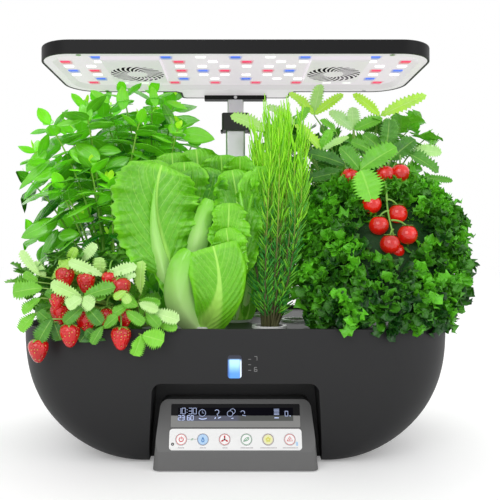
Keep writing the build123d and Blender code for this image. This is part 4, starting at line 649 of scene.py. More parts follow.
class DressHousing(bpy.types.Operator):
    """Moulded, drawn and rubber finishes for the housing, deck, pole and lamp"""
    bl_idname = "garden.housing"
    bl_label = "Housing"

    # Middle of a fan, and the radii and heights of the walls between the louvres that are painted in shadow
    FAN = (0.104, -0.0215)
    GRILLE = (0.0283, 0.0287)
    TRAY_FACE = (0.38630, 0.38605)

    def execute(self, context):
        colours = context.scene.garden_housing
        keys = " ".join("key_" + key for key in KEYS)
        for name, colour, roughness, form, nodes in (
                ("tank plastic", colours.tank, 0.5,
                 dict(grain=1500, depth=0.00003, drift=0.08, Specular_IOR_Level=0.35), "water_tank"),
                ("deck plastic", colours.deck, 0.5, dict(grain=1400),
                 "grow_deck fill_lid pole_socket pole_collar power_jack"),
                ("white plastic", colours.white, 0.38, dict(depth=0.00001, drift=0.04),
                 "grow_baskets key_strip pump_impeller"),
                ("key plastic", (0.86, 0.86, 0.86), 0.3, dict(depth=0.00001, drift=0.03), keys),
                ("grey plastic", (0.07, 0.07, 0.075), 0.5, {}, "float_guide pump_body pump_cover pump_tube"),
                ("lamp plastic", colours.lamp, 0.45, dict(grain=1500, depth=0.00002, Specular_IOR_Level=0.16),
                 "lamp_shell lamp_bracket"),
                ("fan plastic", (0.012, 0.012, 0.012), 0.5, dict(Specular_IOR_Level=0.2),
                 "fan_frame_left fan_frame_right fan_rotor_left fan_rotor_right"),
                ("drawn metal", colours.pole, 0.32,
                 dict(grain=500, depth=0.00002, drift=0.08, stretch=(6, 6, 0.05), Metallic=0.85),
                 "pole_outer pole_inner"),
                ("steel", (0.56, 0.56, 0.57), 0.34, dict(Metallic=1.0),
                 "fill_lid_pin pump_shaft fixing_screws lamp_screws"),
                ("rubber", (0.012, 0.012, 0.012), 0.8, dict(grain=700),
                 "tank_feet window_gasket console_feet friction_pad touch_switches"),
                ("circuit board", (0.01, 0.12, 0.04), 0.4, {}, "control_board"),
                ("float plastic", (0.05, 0.2, 0.8), 0.3, {}, "level_float"),
                ("display module", (0.002, 0.002, 0.004), 0.2, {}, "display_module")):
            dress(surface(name, colour, roughness, **form), *nodes.split())
        dress(self.console(colours.console), "console_shell", "console_base")
        dress(self.tray(), "lamp_bezel")
        return {"FINISHED"}

    def console(self, colour):
        """Grey plastic with painted shade: a little darker towards its top, where its face turns up."""
        made, n, shader = principled("console plastic")
        # Painted shade: the grey falls to 0.42 of itself towards the console's top
        tone = n.mix(n.ramp(n.axes()[2], 0.056, 0.014), tuple(c * 0.42 for c in colour), colour)
        grained(n, shader, n.coordinates(), tone, 0.5, 1500.0, 0.00003, 0.06)
        return made

    def tray(self):
        """White tray with a painted glow, as though lit; the walls between the louvres of its two grilles are
        painted in shadow.
        """
        made = surface("lit tray plastic", TRAY_WHITE, 0.38, depth=0.00001, drift=0.04,
                       Emission_Color=(1.0, 0.92, 1.0))
        n, shader = Nodes(made.node_tree), made.node_tree.nodes["Principled BSDF"]
        x, y, z = n.axes()
        across, along = abs(x) - self.FAN[0], y - self.FAN[1]
        away = n.math("SQRT", across * across + along * along)
        # lit is 0 on the walls deep between the louvres, painted in shadow, and 1 elsewhere, where the tray
        # has a painted glow
        lit = n.most(n.ramp(z, *self.TRAY_FACE), n.ramp(away, *self.GRILLE))
        n.fill(shader, Emission_Strength=lit * 0.50, Base_Color=n.mix(lit, (0.006, 0.006, 0.007), TRAY_WHITE))
        return made


class BuildLevelWindow(bpy.types.Operator):
    """Lit level window with its tick marks and numbers on the tank's front"""
    bl_idname = "garden.level_window"
    bl_label = "Level window"

    FOOT, HEIGHT = 0.084, 0.021
    MIDDLE, HALF = -0.0008, 0.0063
    TICKS = (101.4, 96.5, 91.4)
    FIGURES = ((7, 100.3), (6, 90.4))
    RIM, DEPTH, FRONT_Y, LEAN = 128.5, 126.5, -127.5, 28.5

    def execute(self, context):
        made, n, shader = principled("window glow", Roughness=0.12, Coat_Weight=0.5,
                                     Emission_Strength=context.scene.garden_lights.window)
        x, _, z = n.axes()
        rise, across = (z - self.FOOT) * (1 / self.HEIGHT), (x - self.MIDDLE) * (1 / self.HALF)
        colour = n.mix(n.ramp(rise, 0.15, 0.72), (0.06, 0.22, 0.60), (0.34, 0.62, 0.96))
        # Painted shade towards both sides
        colour = n.mix(n.ramp(abs(across), 0.55, 1.0), colour, (0.02, 0.07, 0.25))
        # Painted shadow under the window's top edge
        colour = n.mix(n.ramp(rise, 0.76, 0.86), colour, (0.002, 0.004, 0.02))
        # Painted highlight along the right edge, below the top
        edge = n.ramp(across, 0.72, 0.84) * n.ramp(rise, 0.84, 0.7)
        colour = n.mix(edge, colour, (0.55, 0.62, 0.72))
        n.fill(shader, Base_Color=colour, Emission_Color=colour)
        dress(made, "tank_window")
        lines = [(((11.4, height), (14.0, height)), 0.5) for height in self.TICKS]
        lines += [(line, 0.55) for digit, height in self.FIGURES
                  for line in segments(digit, 16.9, height, 2.4, 3.6)]
        marks = Piece()
        for line, width in lines:
            marks.add(*self.on_tank(*ribbon(line, width)))
        ink = shaded("level print", (0.20, 0.20, 0.20), (0.24, 0.24, 0.24), Roughness=0.5)
        marks.build("level_marks", ink, "garden")
        return {"FINISHED"}

    def on_tank(self, points, faces):
        """Lays plane points, x across and y as height, on the bowl's front, which leans in by its lean
        times 1-(1-t^2.6)^0.735, t being the share of its depth."""
        down = np.clip((self.RIM - points[..., 1]) / self.DEPTH, 0, 1)
        turn = 1 - (1 - down**2.6) ** 0.735
        y = self.FRONT_Y + self.LEAN * turn - points[..., 2] - 0.02
        return np.stack((points[..., 0], y, points[..., 1]), -1), faces


def segments(digit, x, y, wide, high):
    """Lines of one seven-segment figure with its lower left corner at x, y."""
    low, mid, top, right = y, y + high / 2, y + high, x + wide
    bars = (((x, top), (right, top)), ((right, top), (right, mid)), ((right, mid), (right, low)),
            ((x, low), (right, low)), ((x, low), (x, mid)), ((x, mid), (x, top)), ((x, mid), (right, mid)))
    lit = ("012345", "12", "01346", "01236", "1256", "02356", "023456", "012", "0123456", "012356")[digit]
    return [bars[int(bar)] for bar in lit]


# ---------------------------------------------------------------- lamp, display and keys
class BuildLamp(bpy.types.Operator):
    """Lit diodes, the coloured glow that they throw on the tray as painted patches, and the lamp's white board
    with a painted glow
    """
    bl_idname = "garden.lamp"
    bl_label = "Lamp lights"

    # A glow patch's half sizes and thickness, its narrowing towards the back, and its shift to the back
    WIDE, LONG, THICK, TAPER, BACK = 7.2, 7.8, 0.04, 0.14, 3.0

    def execute(self, context):
        lights = context.scene.garden_lights
        # The board has a painted glow, as though lit
        dress(surface("board white", BOARD_WHITE, 0.5, depth=0.00001, drift=0.05, Emission_Color=BOARD_GLOW,
                      Emission_Strength=BOARD_POWER), "led_board")
        for node, colour, power, sparkle in (("leds_white", lights.white, 1.0, 0.0),
                                             ("leds_blue", lights.blue, 0.5, 0.05),
                                             ("leds_red", lights.red, 0.5, 0.05)):
            made, n, shader = principled(node, Roughness=0.25, Emission_Strength=power)
            body = n.mix(n.noise(n.coordinates(), 260.0), colour, tuple(0.75 + 0.25 * c for c in colour))
            tone = n.mix(sparkle, colour, body)
            n.fill(shader, Base_Color=tone, Emission_Color=tone)
            dress(made, node)
            if sparkle:
                self.glow(node, colour, lights.glow)
        return {"FINISHED"}

    def glow(self, node, colour, strength):
        """Tinted patches behind the diodes of a node: painted glow where their coloured light falls."""
        patches = Piece()
        for place in self.places(node):
            self.patch(patches, *place)
        pale = tuple(1 - strength * (1 - c) for c in colour)
        made, n, shader = principled(node + " glow", Roughness=0.5, Emission_Strength=BOARD_POWER)
        n.fill(shader, Base_Color=n.mix(n.shade(), BOARD_WHITE, tuple(c * BOARD_WHITE[0] for c in pale)),
               Emission_Color=n.mix(n.shade(), BOARD_GLOW, pale))
        patches.build(node + "_glow", made, "lamp")

    def places(self, node):
        """Middles of a node's separate diodes: its corners rounded to the diodes' columns and rows."""
        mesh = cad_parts[node].data
        flat = np.empty(len(mesh.vertices) * 3)
        mesh.vertices.foreach_get("co", flat)
        flat = flat.reshape(-1, 3) / MM
        cells = np.round(np.column_stack((flat[:, 0] / LED_PITCH, (flat[:, 1] - LED_FRONT) / LED_STEP)))
        return [(c * LED_PITCH, r * LED_STEP + LED_FRONT) for c, r in np.unique(cells, axis=0)]

    def patch(self, glow, middle_x, middle_y, side=9):
        """Thin plate behind a diode, narrower to the back; its shade is 1-u^6 across times 1-v^3 along."""
        u, v = np.meshgrid(np.linspace(-1, 1, side), np.linspace(-1, 1, side))
        x, y = middle_x + u * self.WIDE * (1 - self.TAPER * v), middle_y + self.BACK + v * self.LONG
        bell = (1 - u**6) * np.clip(1 - np.abs(v) ** 3, 0, 1)
        low = np.stack((x, y, np.full_like(x, GLOW_HEIGHT)), -1)
        points = np.concatenate((low, (low + (0, 0, self.THICK))[:, ::-1]), 1)
        shade = np.concatenate((bell, bell[:, ::-1]), 1)
        glow.add(points, grid_faces(1, side, 2 * side, True), shade=shade.ravel())


def printed(name, finish, body, marks, lift):
    """Flat marks on the panel: bands along lines and filled discs."""
    made = Piece()
    for points, faces in marks:
        made.add(on_incline(points, lift), faces)
    made.build(name, finish, body, smooth=False)


def figures(text, x, y, wide, high, step, gap):
    """Bands of a row of figures; a colon leaves a gap."""
    bands = []
    for sign in text:
        if sign == ":":
            x += gap
            continue
        bands += [ribbon(line, 0.5) for line in segments(int(sign), x, y, wide, high)]
        x += step
    return bands


class BuildDisplay(bpy.types.Operator):
    """Clock figures and symbols behind the display's glass"""
    bl_idname = "garden.display"
    bl_label = "Display"

    WIDTH, LOW, HIGH, TINTED = (0.0533, 0.0527), (0.0426, 0.0430), (0.0540, 0.0536), (0.0468, 0.0475)

    def execute(self, context):
        self.glass()
        faint = figures("10:30", -53.2, 33.1, 2.9, 5.3, 4.0, 2.2)
        faint += [disc((-44.6, y), 0.35, 8) for y in (34.4, 37.0)]
        faint += [ribbon(ring_line((-30.6, 34.0), 3.1)[:-1], 0.4, True),
                  ribbon(((-30.6, 36.0), (-30.6, 34.0), (-28.9, 34.0)), 0.35),
                  ribbon(ring_line((-17.2, 35.0), 1.9, -60, 150, 10), 0.6),
                  ribbon(((-17.0, 33.4), (-16.0, 30.8)), 0.5),
                  ribbon(ring_line((-5.0, 33.4), 2.6)[:-1], 0.4, True),
                  ribbon(ring_line((-2.6, 35.6), 2.3, -80, 170, 14), 0.4),
                  ribbon(ring_line((6.6, 34.2), 1.8, -30, 160, 10), 0.5),
                  ribbon(((6.2, 32.0), (9.6, 31.4)), 0.5)]
        faint += [ribbon(((35.4, y), (40.2, y)), 0.55) for y in (32.6, 33.8, 35.0, 36.2, 37.4)]
        faint += figures("0", 45.6, 31.2, 2.6, 4.4, 0.0, 0.0)
        bright = figures("23:60", -52.6, 27.6, 2.3, 4.0, 3.2, 2.0)
        bright += [ribbon(((-33.6, 29.2), (-31.6, 28.5), (-29.0, 28.5), (-26.4, 29.2)), 0.7),
                   ribbon(((-19.0, 28.6), (-18.2, 30.2)), 0.8), ribbon(((-16.0, 29.2), (-13.4, 30.4)), 0.7),
                   ribbon(((-3.8, 29.0), (-1.8, 29.4)), 0.6), ribbon(((35.8, 29.6), (39.8, 29.6)), 0.8),
                   disc((50.2, 31.4), 0.5, 8)]
        colour = context.scene.garden_lights.display
        for part, tone, power, marks in (("figures", colour, 0.12, faint),
                                         ("bars", tuple(min(1, c * 1.3) for c in colour), 0.3, bright)):
            printed("display_" + part, self.light("display " + part, tone, power), "garden", marks,
                    DISPLAY_TOP)
        return {"FINISHED"}

    def glass(self):
        """Dark glass with a painted reflection of a pale floor on its lower half, greyer to the right, round
        the lit field.
        """
        made, n, shader = principled("display glass", Roughness=0.3, Specular_IOR_Level=0.03)
        x, _, z = n.axes()
        inside = n.ramp(abs(x), *self.WIDTH) * (n.ramp(z, *self.LOW) * n.ramp(z, *self.HIGH))
        upper = n.mix(inside, (0.010, 0.010, 0.011), (0.0008, 0.0008, 0.003))
        # Painted reflection of the pale floor on the lower half, dimmer over the lit field and over its right
        # part
        lower = n.mix(inside, (0.24, 0.24, 0.235), (0.105, 0.11, 0.15))
        lower = n.mix((1.0 - n.ramp(x, 0.006, 0.0)) * inside, lower, (0.09, 0.095, 0.09))
        edge = z + (n.noise(n.coordinates(), 300.0) - 0.5) * 0.0006
        n.fill(shader, Base_Color=n.mix(n.ramp(edge, *self.TINTED), lower, upper))
        dress(made, "display_window")

    def light(self, name, colour, power):
        """Weakly lit print whose colour drifts a little."""
        made, n, shader = principled(name, Roughness=0.4, Emission_Strength=power)
        tone = n.mix(n.noise(n.coordinates(), 400.0), tuple(c * 0.7 for c in colour), colour)
        n.fill(shader, Base_Color=tone, Emission_Color=tone)
        return made


class PrintKeys(bpy.types.Operator):
    """Coloured rings and plain symbols on the six keys, and the marks on the strip"""
    bl_idname = "garden.key_marks"
    bl_label = "Key marks"

    INKS = {"red": (0.62, 0.02, 0.03), "blue": (0.05, 0.20, 0.50),
            "pale_blue": (0.42, 0.62, 0.85), "green": (0.05, 0.28, 0.12), "grey_green": (0.25, 0.42, 0.30),
            "yellow": (0.66, 0.64, 0.12), "pale_yellow": (0.78, 0.78, 0.42), "brown": (0.30, 0.18, 0.16),
            "black": (0.02, 0.02, 0.02), "dim": (0.36, 0.32, 0.34)}

    PITCH, MIDDLE, CAPTION = 19.7, 10.4, -7.3
    CAPTIONS = (5.4, 5.2, 3.6, 10.4, 14.0, 13.0)

    def execute(self, context):
        self.inks = {name: shaded(name + " ink", colour, colour, Roughness=0.45)
                     for name, colour in self.INKS.items()}
        centre = [np.array(((k - 2.5) * self.PITCH, self.MIDDLE)) for k in range(6)]
        at = lambda k, *points: [tuple(centre[k] + np.array(p)) for p in points]
        out_by = lambda degrees: ring_line((0, 0), 1, degrees, degrees, 0)[0]
        turns = np.linspace(0, 2 * math.pi, 25)[:-1]
        cos, sin = np.cos(turns), np.sin(turns)
        drop = np.stack((1.5 * sin * (0.5 - 0.5 * cos) ** 0.8, 1.9 * cos - 0.2), -1)
        leaf = np.stack((2.6 * cos, 1.15 * sin * (1 + 0.25 * cos)), -1)
        leaf = leaf @ np.array(((0.86, 0.5), (-0.5, 0.86)))
        for k, ink, size in ((0, "red", 4.55), (1, "blue", 4.6), (2, "red", 4.55), (3, "green", 4.55),
                             (4, "brown", 4.6), (5, "red", 4.55)):
            self.mark(k, "ring", ink, [ribbon(ring_line(centre[k], size, steps=36)[:-1], 0.4, True)])
        for k, ink in ((1, "pale_blue"), (4, "pale_yellow")):
            self.mark(k, "disc", ink, [disc(centre[k], 4.2, 36, 0.05)])
        wings = [disc(centre[2] + reach * out_by(turn), width * 0.42, 12) for turn in (90, 210, 330)
                 for width, reach in ((1.5, 1.5), (1.9, 2.2), (1.5, 2.9))]
        petals = [disc(centre[4] + 1.5 * out_by(turn), 0.95, 14, 0.05) for turn in (18, 90, 162, 234, 306)]
        for k, ink, marks, lift in (
                (0, "red", [ribbon(ring_line(centre[0], 1.9, 120, 420, 20), 0.75),
                            ribbon(at(0, (0, 0.3), (0, 2.5)), 0.75)], 0.0),
                (1, "blue", [ribbon(centre[1] + drop, 0.8, True)], 0.06),
                (2, "red", wings, 0.0),
                (3, "green", [ribbon(centre[3] + leaf, 0.5, True),
                              ribbon(at(3, (-2.6, -1.9), (0, -0.2), (1.7, 1.2)), 0.5)], 0.0),
                (4, "yellow", petals, 0.06),
                (5, "red", [ribbon(at(5, (-2.5, -1.3), (0, 2.6), (2.5, -1.3), (-2.5, -1.3)), 0.55),
                            ribbon(at(5, (-0.2, -0.6), (0.3, 1.0)), 0.7)], 0.0)):
            self.mark(k, "sign", ink, marks, lift)
        self.mark(2, "hub", "black", [disc(centre[2], 0.9, 16, 0.16)])
        sprout, dot = centre[0] + (9.85, 0.2) + leaf * 0.42, centre[0] + (-7.7, -4.1)
        words = []
        for k, wide in enumerate(self.CAPTIONS):
            words += [ribbon(at(k, (x, self.CAPTION), (x + 0.8, self.CAPTION)), 0.75)
                      for x in np.arange(-wide / 2, wide / 2, 1.15)]
        for name, ink, marks, slot in (
                ("lines", "dim", [ribbon(at(0, (5.6, 0.2), (8.2, 0.2)), 0.3),
                                  ribbon(at(1, (-8.4, 0.2), (-5.8, 0.2)), 0.3)], "white_plastic"),
                ("sprout", "grey_green", [ribbon(sprout, 0.6, True)], "white_plastic"),
                ("sensor", "black", [ribbon(ring_line(dot, 0.9)[:-1], 0.9, True)], "display_glass"),
                ("drop", "pale_blue", [disc(p, 1.1, 14) for p in at(5, (6.4, -3.0), (6.4, -4.6))],
                 "white_plastic"),
                ("captions", "dim", words, "white_plastic")):
            printed("strip_" + name, self.inks[ink], "garden", marks, STRIP_TOP)
        return {"FINISHED"}

    def mark(self, key, part, ink, marks, lift=0.0):
        """Prints marks on a key, so that they sink with it."""
        name = "key_" + KEYS[key]
        printed(f"{name}_{part}", self.inks[ink], name, marks, KEY_TOP + lift)


class BuildSponges(bpy.types.Operator):
    """Growing sponges with a rough open-celled top in every basket"""
    bl_idname = "garden.sponges"
    bl_label = "Sponges"

    PROFILE = ((0, 124.6), (3, 124.7), (6, 124.4), (9, 124.6), (11.5, 124.2), (12.9, 123.4), (12.8, 118),
               (10.6, 88), (6, 86.6), (0, 86.6))

    def execute(self, context):
        centres = np.column_stack((PODS, np.zeros(len(PODS))))
        points, faces, uv = turned(centres, 1.0, self.PROFILE, 28)
        rng = np.random.default_rng(3)
        points[:, 1:5, :, 2] += rng.uniform(-0.5, 0.25, points[:, 1:5, :, 2].shape)
        made = Piece()
        made.add(points, faces, uv)
        finish, n, shader = principled("sponge", Roughness=0.95)
        far = n.cells(900.0)
        n.fill(shader, Base_Color=n.mix(n.ramp(far, 0.1, 0.6), (0.006, 0.004, 0.003), (0.07, 0.045, 0.03)))
        n.bump(shader, far, 0.0008)
        made.build("sponges", finish, "garden", nodes=("grow_sponges",))
        return {"FINISHED"}


# ---------------------------------------------------------------- plants
def grow(piece, start, end, face, width, shade, arch=0.2, **form):
    """Adds leaves to a piece; each midrib arches towards the face by a share of its length."""
    face = np.broadcast_to(np.asarray(face, float), start.shape)
    length = np.linalg.norm(end - start, axis=-1, keepdims=True)
    bend = (start + end) / 2 + unit(face) * length * arch
    points, faces, uv = blades(start, bend, end, face, width, **form)
    shade = np.broadcast_to(np.broadcast_to(shade, (len(start),))[:, None, None], points.shape[:3])
    piece.add(points, faces, uv, shade.ravel())


def feet(pods, count, rng, spread):
    """Where stems leave the sponges: places spread about the middles of their pods."""
    around = np.broadcast_to(pods, (count, 2)) + rng.uniform(-spread, spread, (count, 2))
    return np.column_stack((around, np.full(count, STEM_FOOT)))


def fill(piece, spots, out, rng, length, width, shade, droop=0.5, **form):
    """Leaves that lead out of a crown from given places, turned and sized at random, and droop."""
    count = len(spots)
    along = unit(out + rng.normal(0, 0.45, (count, 3))) - UP * droop * 0.6
    size = rng.uniform(0.7, 1.15, count)
    face = UP + out * 0.7 + rng.normal(0, 0.35, (count, 3))
    tone = np.clip(shade + rng.normal(0, 0.12, count), 0, 1)
    grow(piece, spots, spots + along * length * size[:, None], face, width * size, tone, arch=0.3 * droop,
         phase=rng.uniform(0, 6.3, count), **form)


def stalks(piece, start, bend, end, thick, thin, steps=12, shade=(0.2, 0.8)):
    """Round stalks along arcs, thinner and lighter towards their ends."""
    points, faces = tubes(curves(start, bend, end, steps), np.linspace(thick, thin, steps), 6)
    tone = np.broadcast_to(np.linspace(*shade, steps + 2)[None, :, None], points.shape[:3])
    piece.add(points, faces, shade=tone.ravel())


def threes(start, end, face, width, shade, spread=1.15):
    """Leaflets in threes: each given one and two smaller ones, turned by the spread about the face."""
    along = end - start
    side = np.cross(unit(face), along)
    ends = [start + (along * math.cos(spread) + sign * side * math.sin(spread)) * 0.85 for sign in (-1, 1)]
    return (np.tile(start, (3, 1)), np.concatenate((end, *ends)), np.tile(face, (3, 1)), np.tile(width, 3),
            np.tile(shade, 3))


def table_leaves(rows, lean=3.0, longer=1.0):
    """Starts, ends, widths and shades from rows of x, y, z, end x, end z, width, shade; longer
    draws each leaf out from its start."""
    rows = np.array(rows, float)
    start, end = rows[:, :3], np.column_stack((rows[:, 3], rows[:, 1] - lean, rows[:, 4]))
    return start, start + (end - start) * longer, rows[:, 5], rows[:, 6]


class PlantColours(bpy.types.PropertyGroup):
    basil: tint("Basil", "Young basil leaves", (0.24, 0.86, 0.02))
    basil_deep: tint("Deep basil", "Old basil leaves", (0.003, 0.12, 0.006))
    lettuce: tint("Lettuce", "Outer lettuce leaves", (0.17, 0.58, 0.012))
    lettuce_rib: tint("Lettuce ribs", "Ribs and veins of the lettuces", (0.60, 0.84, 0.36))
    parsley: tint("Parsley", "Tips of the curly parsley", (0.13, 0.56, 0.015))
    rosemary: tint("Rosemary", "Young rosemary needles", (0.34, 0.82, 0.02))
    berry: tint("Berries", "Ripe strawberries", (0.70, 0.006, 0.008))
    tomato: tint("Tomatoes", "Ripe tomatoes", (0.80, 0.012, 0.006))


BASIL = ((168, -196, -104, -22, 84), (205, -226, -62, -24, 118), (250, -234, -46, -26, 140),
         (300, -233, -44, -26, 144), (340, -222, -46, -24, 140), (364, -196, -52, -18, 110),
         (376, -160, -76, -8, 40))
STRAWBERRY = ((130.5, -186, -68, -136, -34), (150, -206, -76, -140, -32), (172, -214, -88, -138, -32),
              (188, -212, -104, -126, -34), (199, -196, -128, -108, -44))
ROSEMARY = ((127, 22, 46, -86, -64), (165, 8, 62, -98, -50), (230, 8, 72, -106, -42),
            (290, 8, 76, -106, -42), (334, 22, 70, -92, -56))
PARSLEY = ((130.5, 74, 196, -138, -34), (155, 62, 222, -138, -32), (190, 62, 229, -112, -31),
           (225, 66, 228, -92, -31), (252, 84, 208, -76, -32), (269, 112, 178, -62, -38))
TOMATO = ((205, 96, 200, -24, 66), (245, 70, 230, -26, 110), (290, 46, 234, -27, 128),
          (332, 32, 234, -27, 128), (362, 30, 222, -26, 96), (376, 52, 190, -20, 40))
OVATE = pointed(0.62, 0.82)
HEAD_LEAF = cornered((0, 0.26), (0.12, 0.28), (0.34, 0.33), (0.43, 0.74), (0.58, 0.95), (0.8, 1.0),
                     (0.93, 0.88), (0.98, 0.6), (1, 0.3))
CUP_LEAF = cornered((0, 0.5), (0.2, 0.66), (0.45, 0.86), (0.75, 1.0), (1, 0.9))


class GrowBasil(bpy.types.Operator):
    """Basil: shoots with crossed pairs of glossy leaves that grow in size down from each tip"""
    bl_idname = "garden.basil"
    bl_label = "Basil"

    SHOOTS = ((-127.9, 20, 379.8), (-155.2, 60, 377.8), (-164.9, 0, 357.3), (-205.4, 0, 339.7),
              (-218.7, -10, 307.5), (-235, 10, 282.8), (-96.7, 40, 382.4), (-73.8, 80, 384.9),
              (-104.6, 0, 341.9), (-48.2, 60, 330.3), (-63, 0, 333.2), (-231.5, 20, 219.8),
              (-188.2, -15, 269.2), (-154.9, -20, 290), (-133.6, -20, 274), (-164.9, 0, 237.8),
              (-139.5, 10, 216.2), (-222.3, 110, 351.5), (-160.9, 120, 379), (-109.6, 120, 353.4),
              (-182, 100, 312.1), (-241.6, 90, 298.3), (-84, 120, 379))
    LARGE = ((-125, 10, 355.1, -125, 380.6, 14.4, 1), (-162.7, 0, 337.6, -164.9, 363.8, 15.3, 0.9),
             (-89.6, 20, 360.6, -94.1, 383.2, 10.1, 1), (-140.4, 15, 364, -161.7, 377.4, 10.1, 0.95),
             (-63.4, 30, 333.1, -23.4, 325.2, 22.8, 0.9), (-80.5, 40, 372, -55, 361.6, 8.1, 0.9),
             (-83.4, 35, 367.4, -67.3, 332.9, 10.4, 0.35), (-167, -5, 340.9, -195.3, 333.3, 9.8, 0.7),
             (-204.7, -10, 307.5, -224.1, 283.7, 16.2, 0.55), (-199.8, -12, 296.4, -232.1, 264.1, 10.8, 0.5),
             (-192.8, -14, 285.4, -217.5, 274.7, 17.2, 0.6), (-177.2, -16, 306.6, -147.2, 289.4, 17.1, 0.75),
             (-144.7, -18, 295.6, -170.3, 312.7, 18.2, 0.6), (-148.5, -10, 307.5, -122.6, 305.3, 14, 0.45),
             (-192.3, -8, 230.9, -231.3, 212.5, 21.7, 0.5), (-191.2, -12, 222.1, -208.4, 189.8, 10.8, 0.3),
             (-190.1, -16, 214.5, -166.5, 216.6, 15, 0.5), (-142, -10, 283.7, -113.9, 298.9, 19.4, 0.35),
             (-178.3, 10, 210.6, -191.7, 186.2, 16.7, 0.08), (-153.2, 12, 212.9, -155.4, 183.9, 18.9, 0.05),
             (-126.8, 14, 210.7, -112.3, 186.1, 16.8, 0.05), (-77.7, -60, 129.3, -85.7, 161.4, 18, 0.15),
             (-70.9, -58, 129.1, -66.9, 159.3, 16.1, 0.2), (-87, -50, 144.5, -99.2, 173, 18.3, 0.3),
             (-88.4, -40, 147.8, -97.7, 180.9, 20.7, 0.1), (-80.1, -40, 137.5, -78, 174.7, 20.7, 0.15),
             (-94.6, -40, 158.2, -80.1, 187.1, 18.6, 0.3), (-98.7, -40, 132.3, -111.1, 158.2, 18.6, 0.2),
             (-69.3, -44, 117.3, -79.6, 142, 18.5, 0.1), (-136.8, 8, 203.9, -167.9, 186.2, 16.6, 0.1),
             (-187.9, -16, 263.7, -198.6, 253, 12.8, 0.4), (-131.9, -18, 261.4, -146.8, 246.5, 14.9, 0.6))
    # Distance below the tip, length and upward lean of each pair of leaves
    PAIRS = ((1, 12, 1.7), (6, 22, 1.0), (15, 30, 0.5), (27, 36, 0.2), (41, 38, 0.0), (57, 37, -0.1),
             (75, 34, -0.1), (95, 30, -0.1))
    FORM = dict(outline=OVATE, rows=7, cols=5, thick=0.3, fold=0.18)

    def execute(self, context):
        colours = context.scene.garden_plants
        rng = np.random.default_rng(11)
        more, _ = crown_spots(BASIL, 34, rng, (0.45, 0.88), (0.4, 0.95), (-30, 210))
        tips = np.concatenate((np.array(self.SHOOTS), more))
        count = len(tips)
        pods = np.array((PODS[4], PODS[9]))
        near = np.linalg.norm(tips[:, None, :2] - pods, axis=-1).argmin(1)
        foot = feet(pods[near], count, rng, 6)
        bend = foot * (0.6, 0.6, 0.3) + tips * (0.4, 0.4, 0.7)
        stems, leaves, young = Piece(), Piece(), Piece()
        stalks(stems, foot, bend, tips, 1.7, 0.8, 18)
        reach = np.linalg.norm(tips - foot, axis=-1, keepdims=True) * 1.05
        turn = rng.uniform(0, math.pi, count)
        for level, (below, long, lift) in enumerate(self.PAIRS):
            t = 1 - below / reach
            base, ahead = arc(foot, bend, tips, t), arc_ahead(foot, bend, tips, t)
            across = unit(np.cross(ahead, (0.2, 1.0, 0.1)))
            square = np.cross(ahead, across)
            angle = (turn + level * math.pi / 2 + rng.normal(0, 0.2, count))[:, None]
            for sign in (-1, 1):
                out = sign * (np.cos(angle) * across + np.sin(angle) * square)
                size = rng.uniform(0.8, 1.15, count)[:, None] * long
                end = base + (unit(out + ahead * lift) - UP * 0.05 * level) * size
                tone = np.clip(1.1 - 0.13 * level + rng.normal(0, 0.25, count), 0, 1)
                grow(leaves if level else young, base, end, ahead + UP * 0.4, size[:, 0] * 0.58, tone,
                     arch=0.12, cup=-0.3, ruffle=0.08, waves=1.0, phase=rng.uniform(0, 6, count), **self.FORM)
        spots, out = crown_spots(BASIL, 120, rng, (0.2, 0.8), (0.0, 0.6))
        fill(leaves, spots, out, rng, 33, 19, 0.2, cup=-0.25, **self.FORM)
        start, end, width, tone = table_leaves(self.LARGE)
        grow(leaves, start, end, FRONT + UP * 0.5, width, tone, arch=0.12, outline=OVATE, rows=15, cols=7,
             fold=0.15, cup=-0.25, ruffle=0.06, waves=1.0)
        finish = leaf_finish("basil leaf", colours.basil_deep, colours.basil, (0.36, 0.84, 0.12), 5.0,
                             share=0.3, through=0.16, Roughness=0.24, Coat_Weight=0.5)
        pale = leaf_finish("young basil leaf", (0.22, 0.74, 0.012), (0.50, 0.93, 0.03), (0.6, 0.95, 0.2), 5.0,
                           share=0.3, Roughness=0.35)
        leaves.plant("basil_leaves", finish, "basil_green", "basil_plant")
        young.plant("basil_tips", pale, "basil_green")
        wood = shaded("basil stem", (0.02, 0.20, 0.01), (0.40, 0.72, 0.06), Roughness=0.4)
        stems.plant("basil_stems", wood, "basil_green")
        return {"FINISHED"}


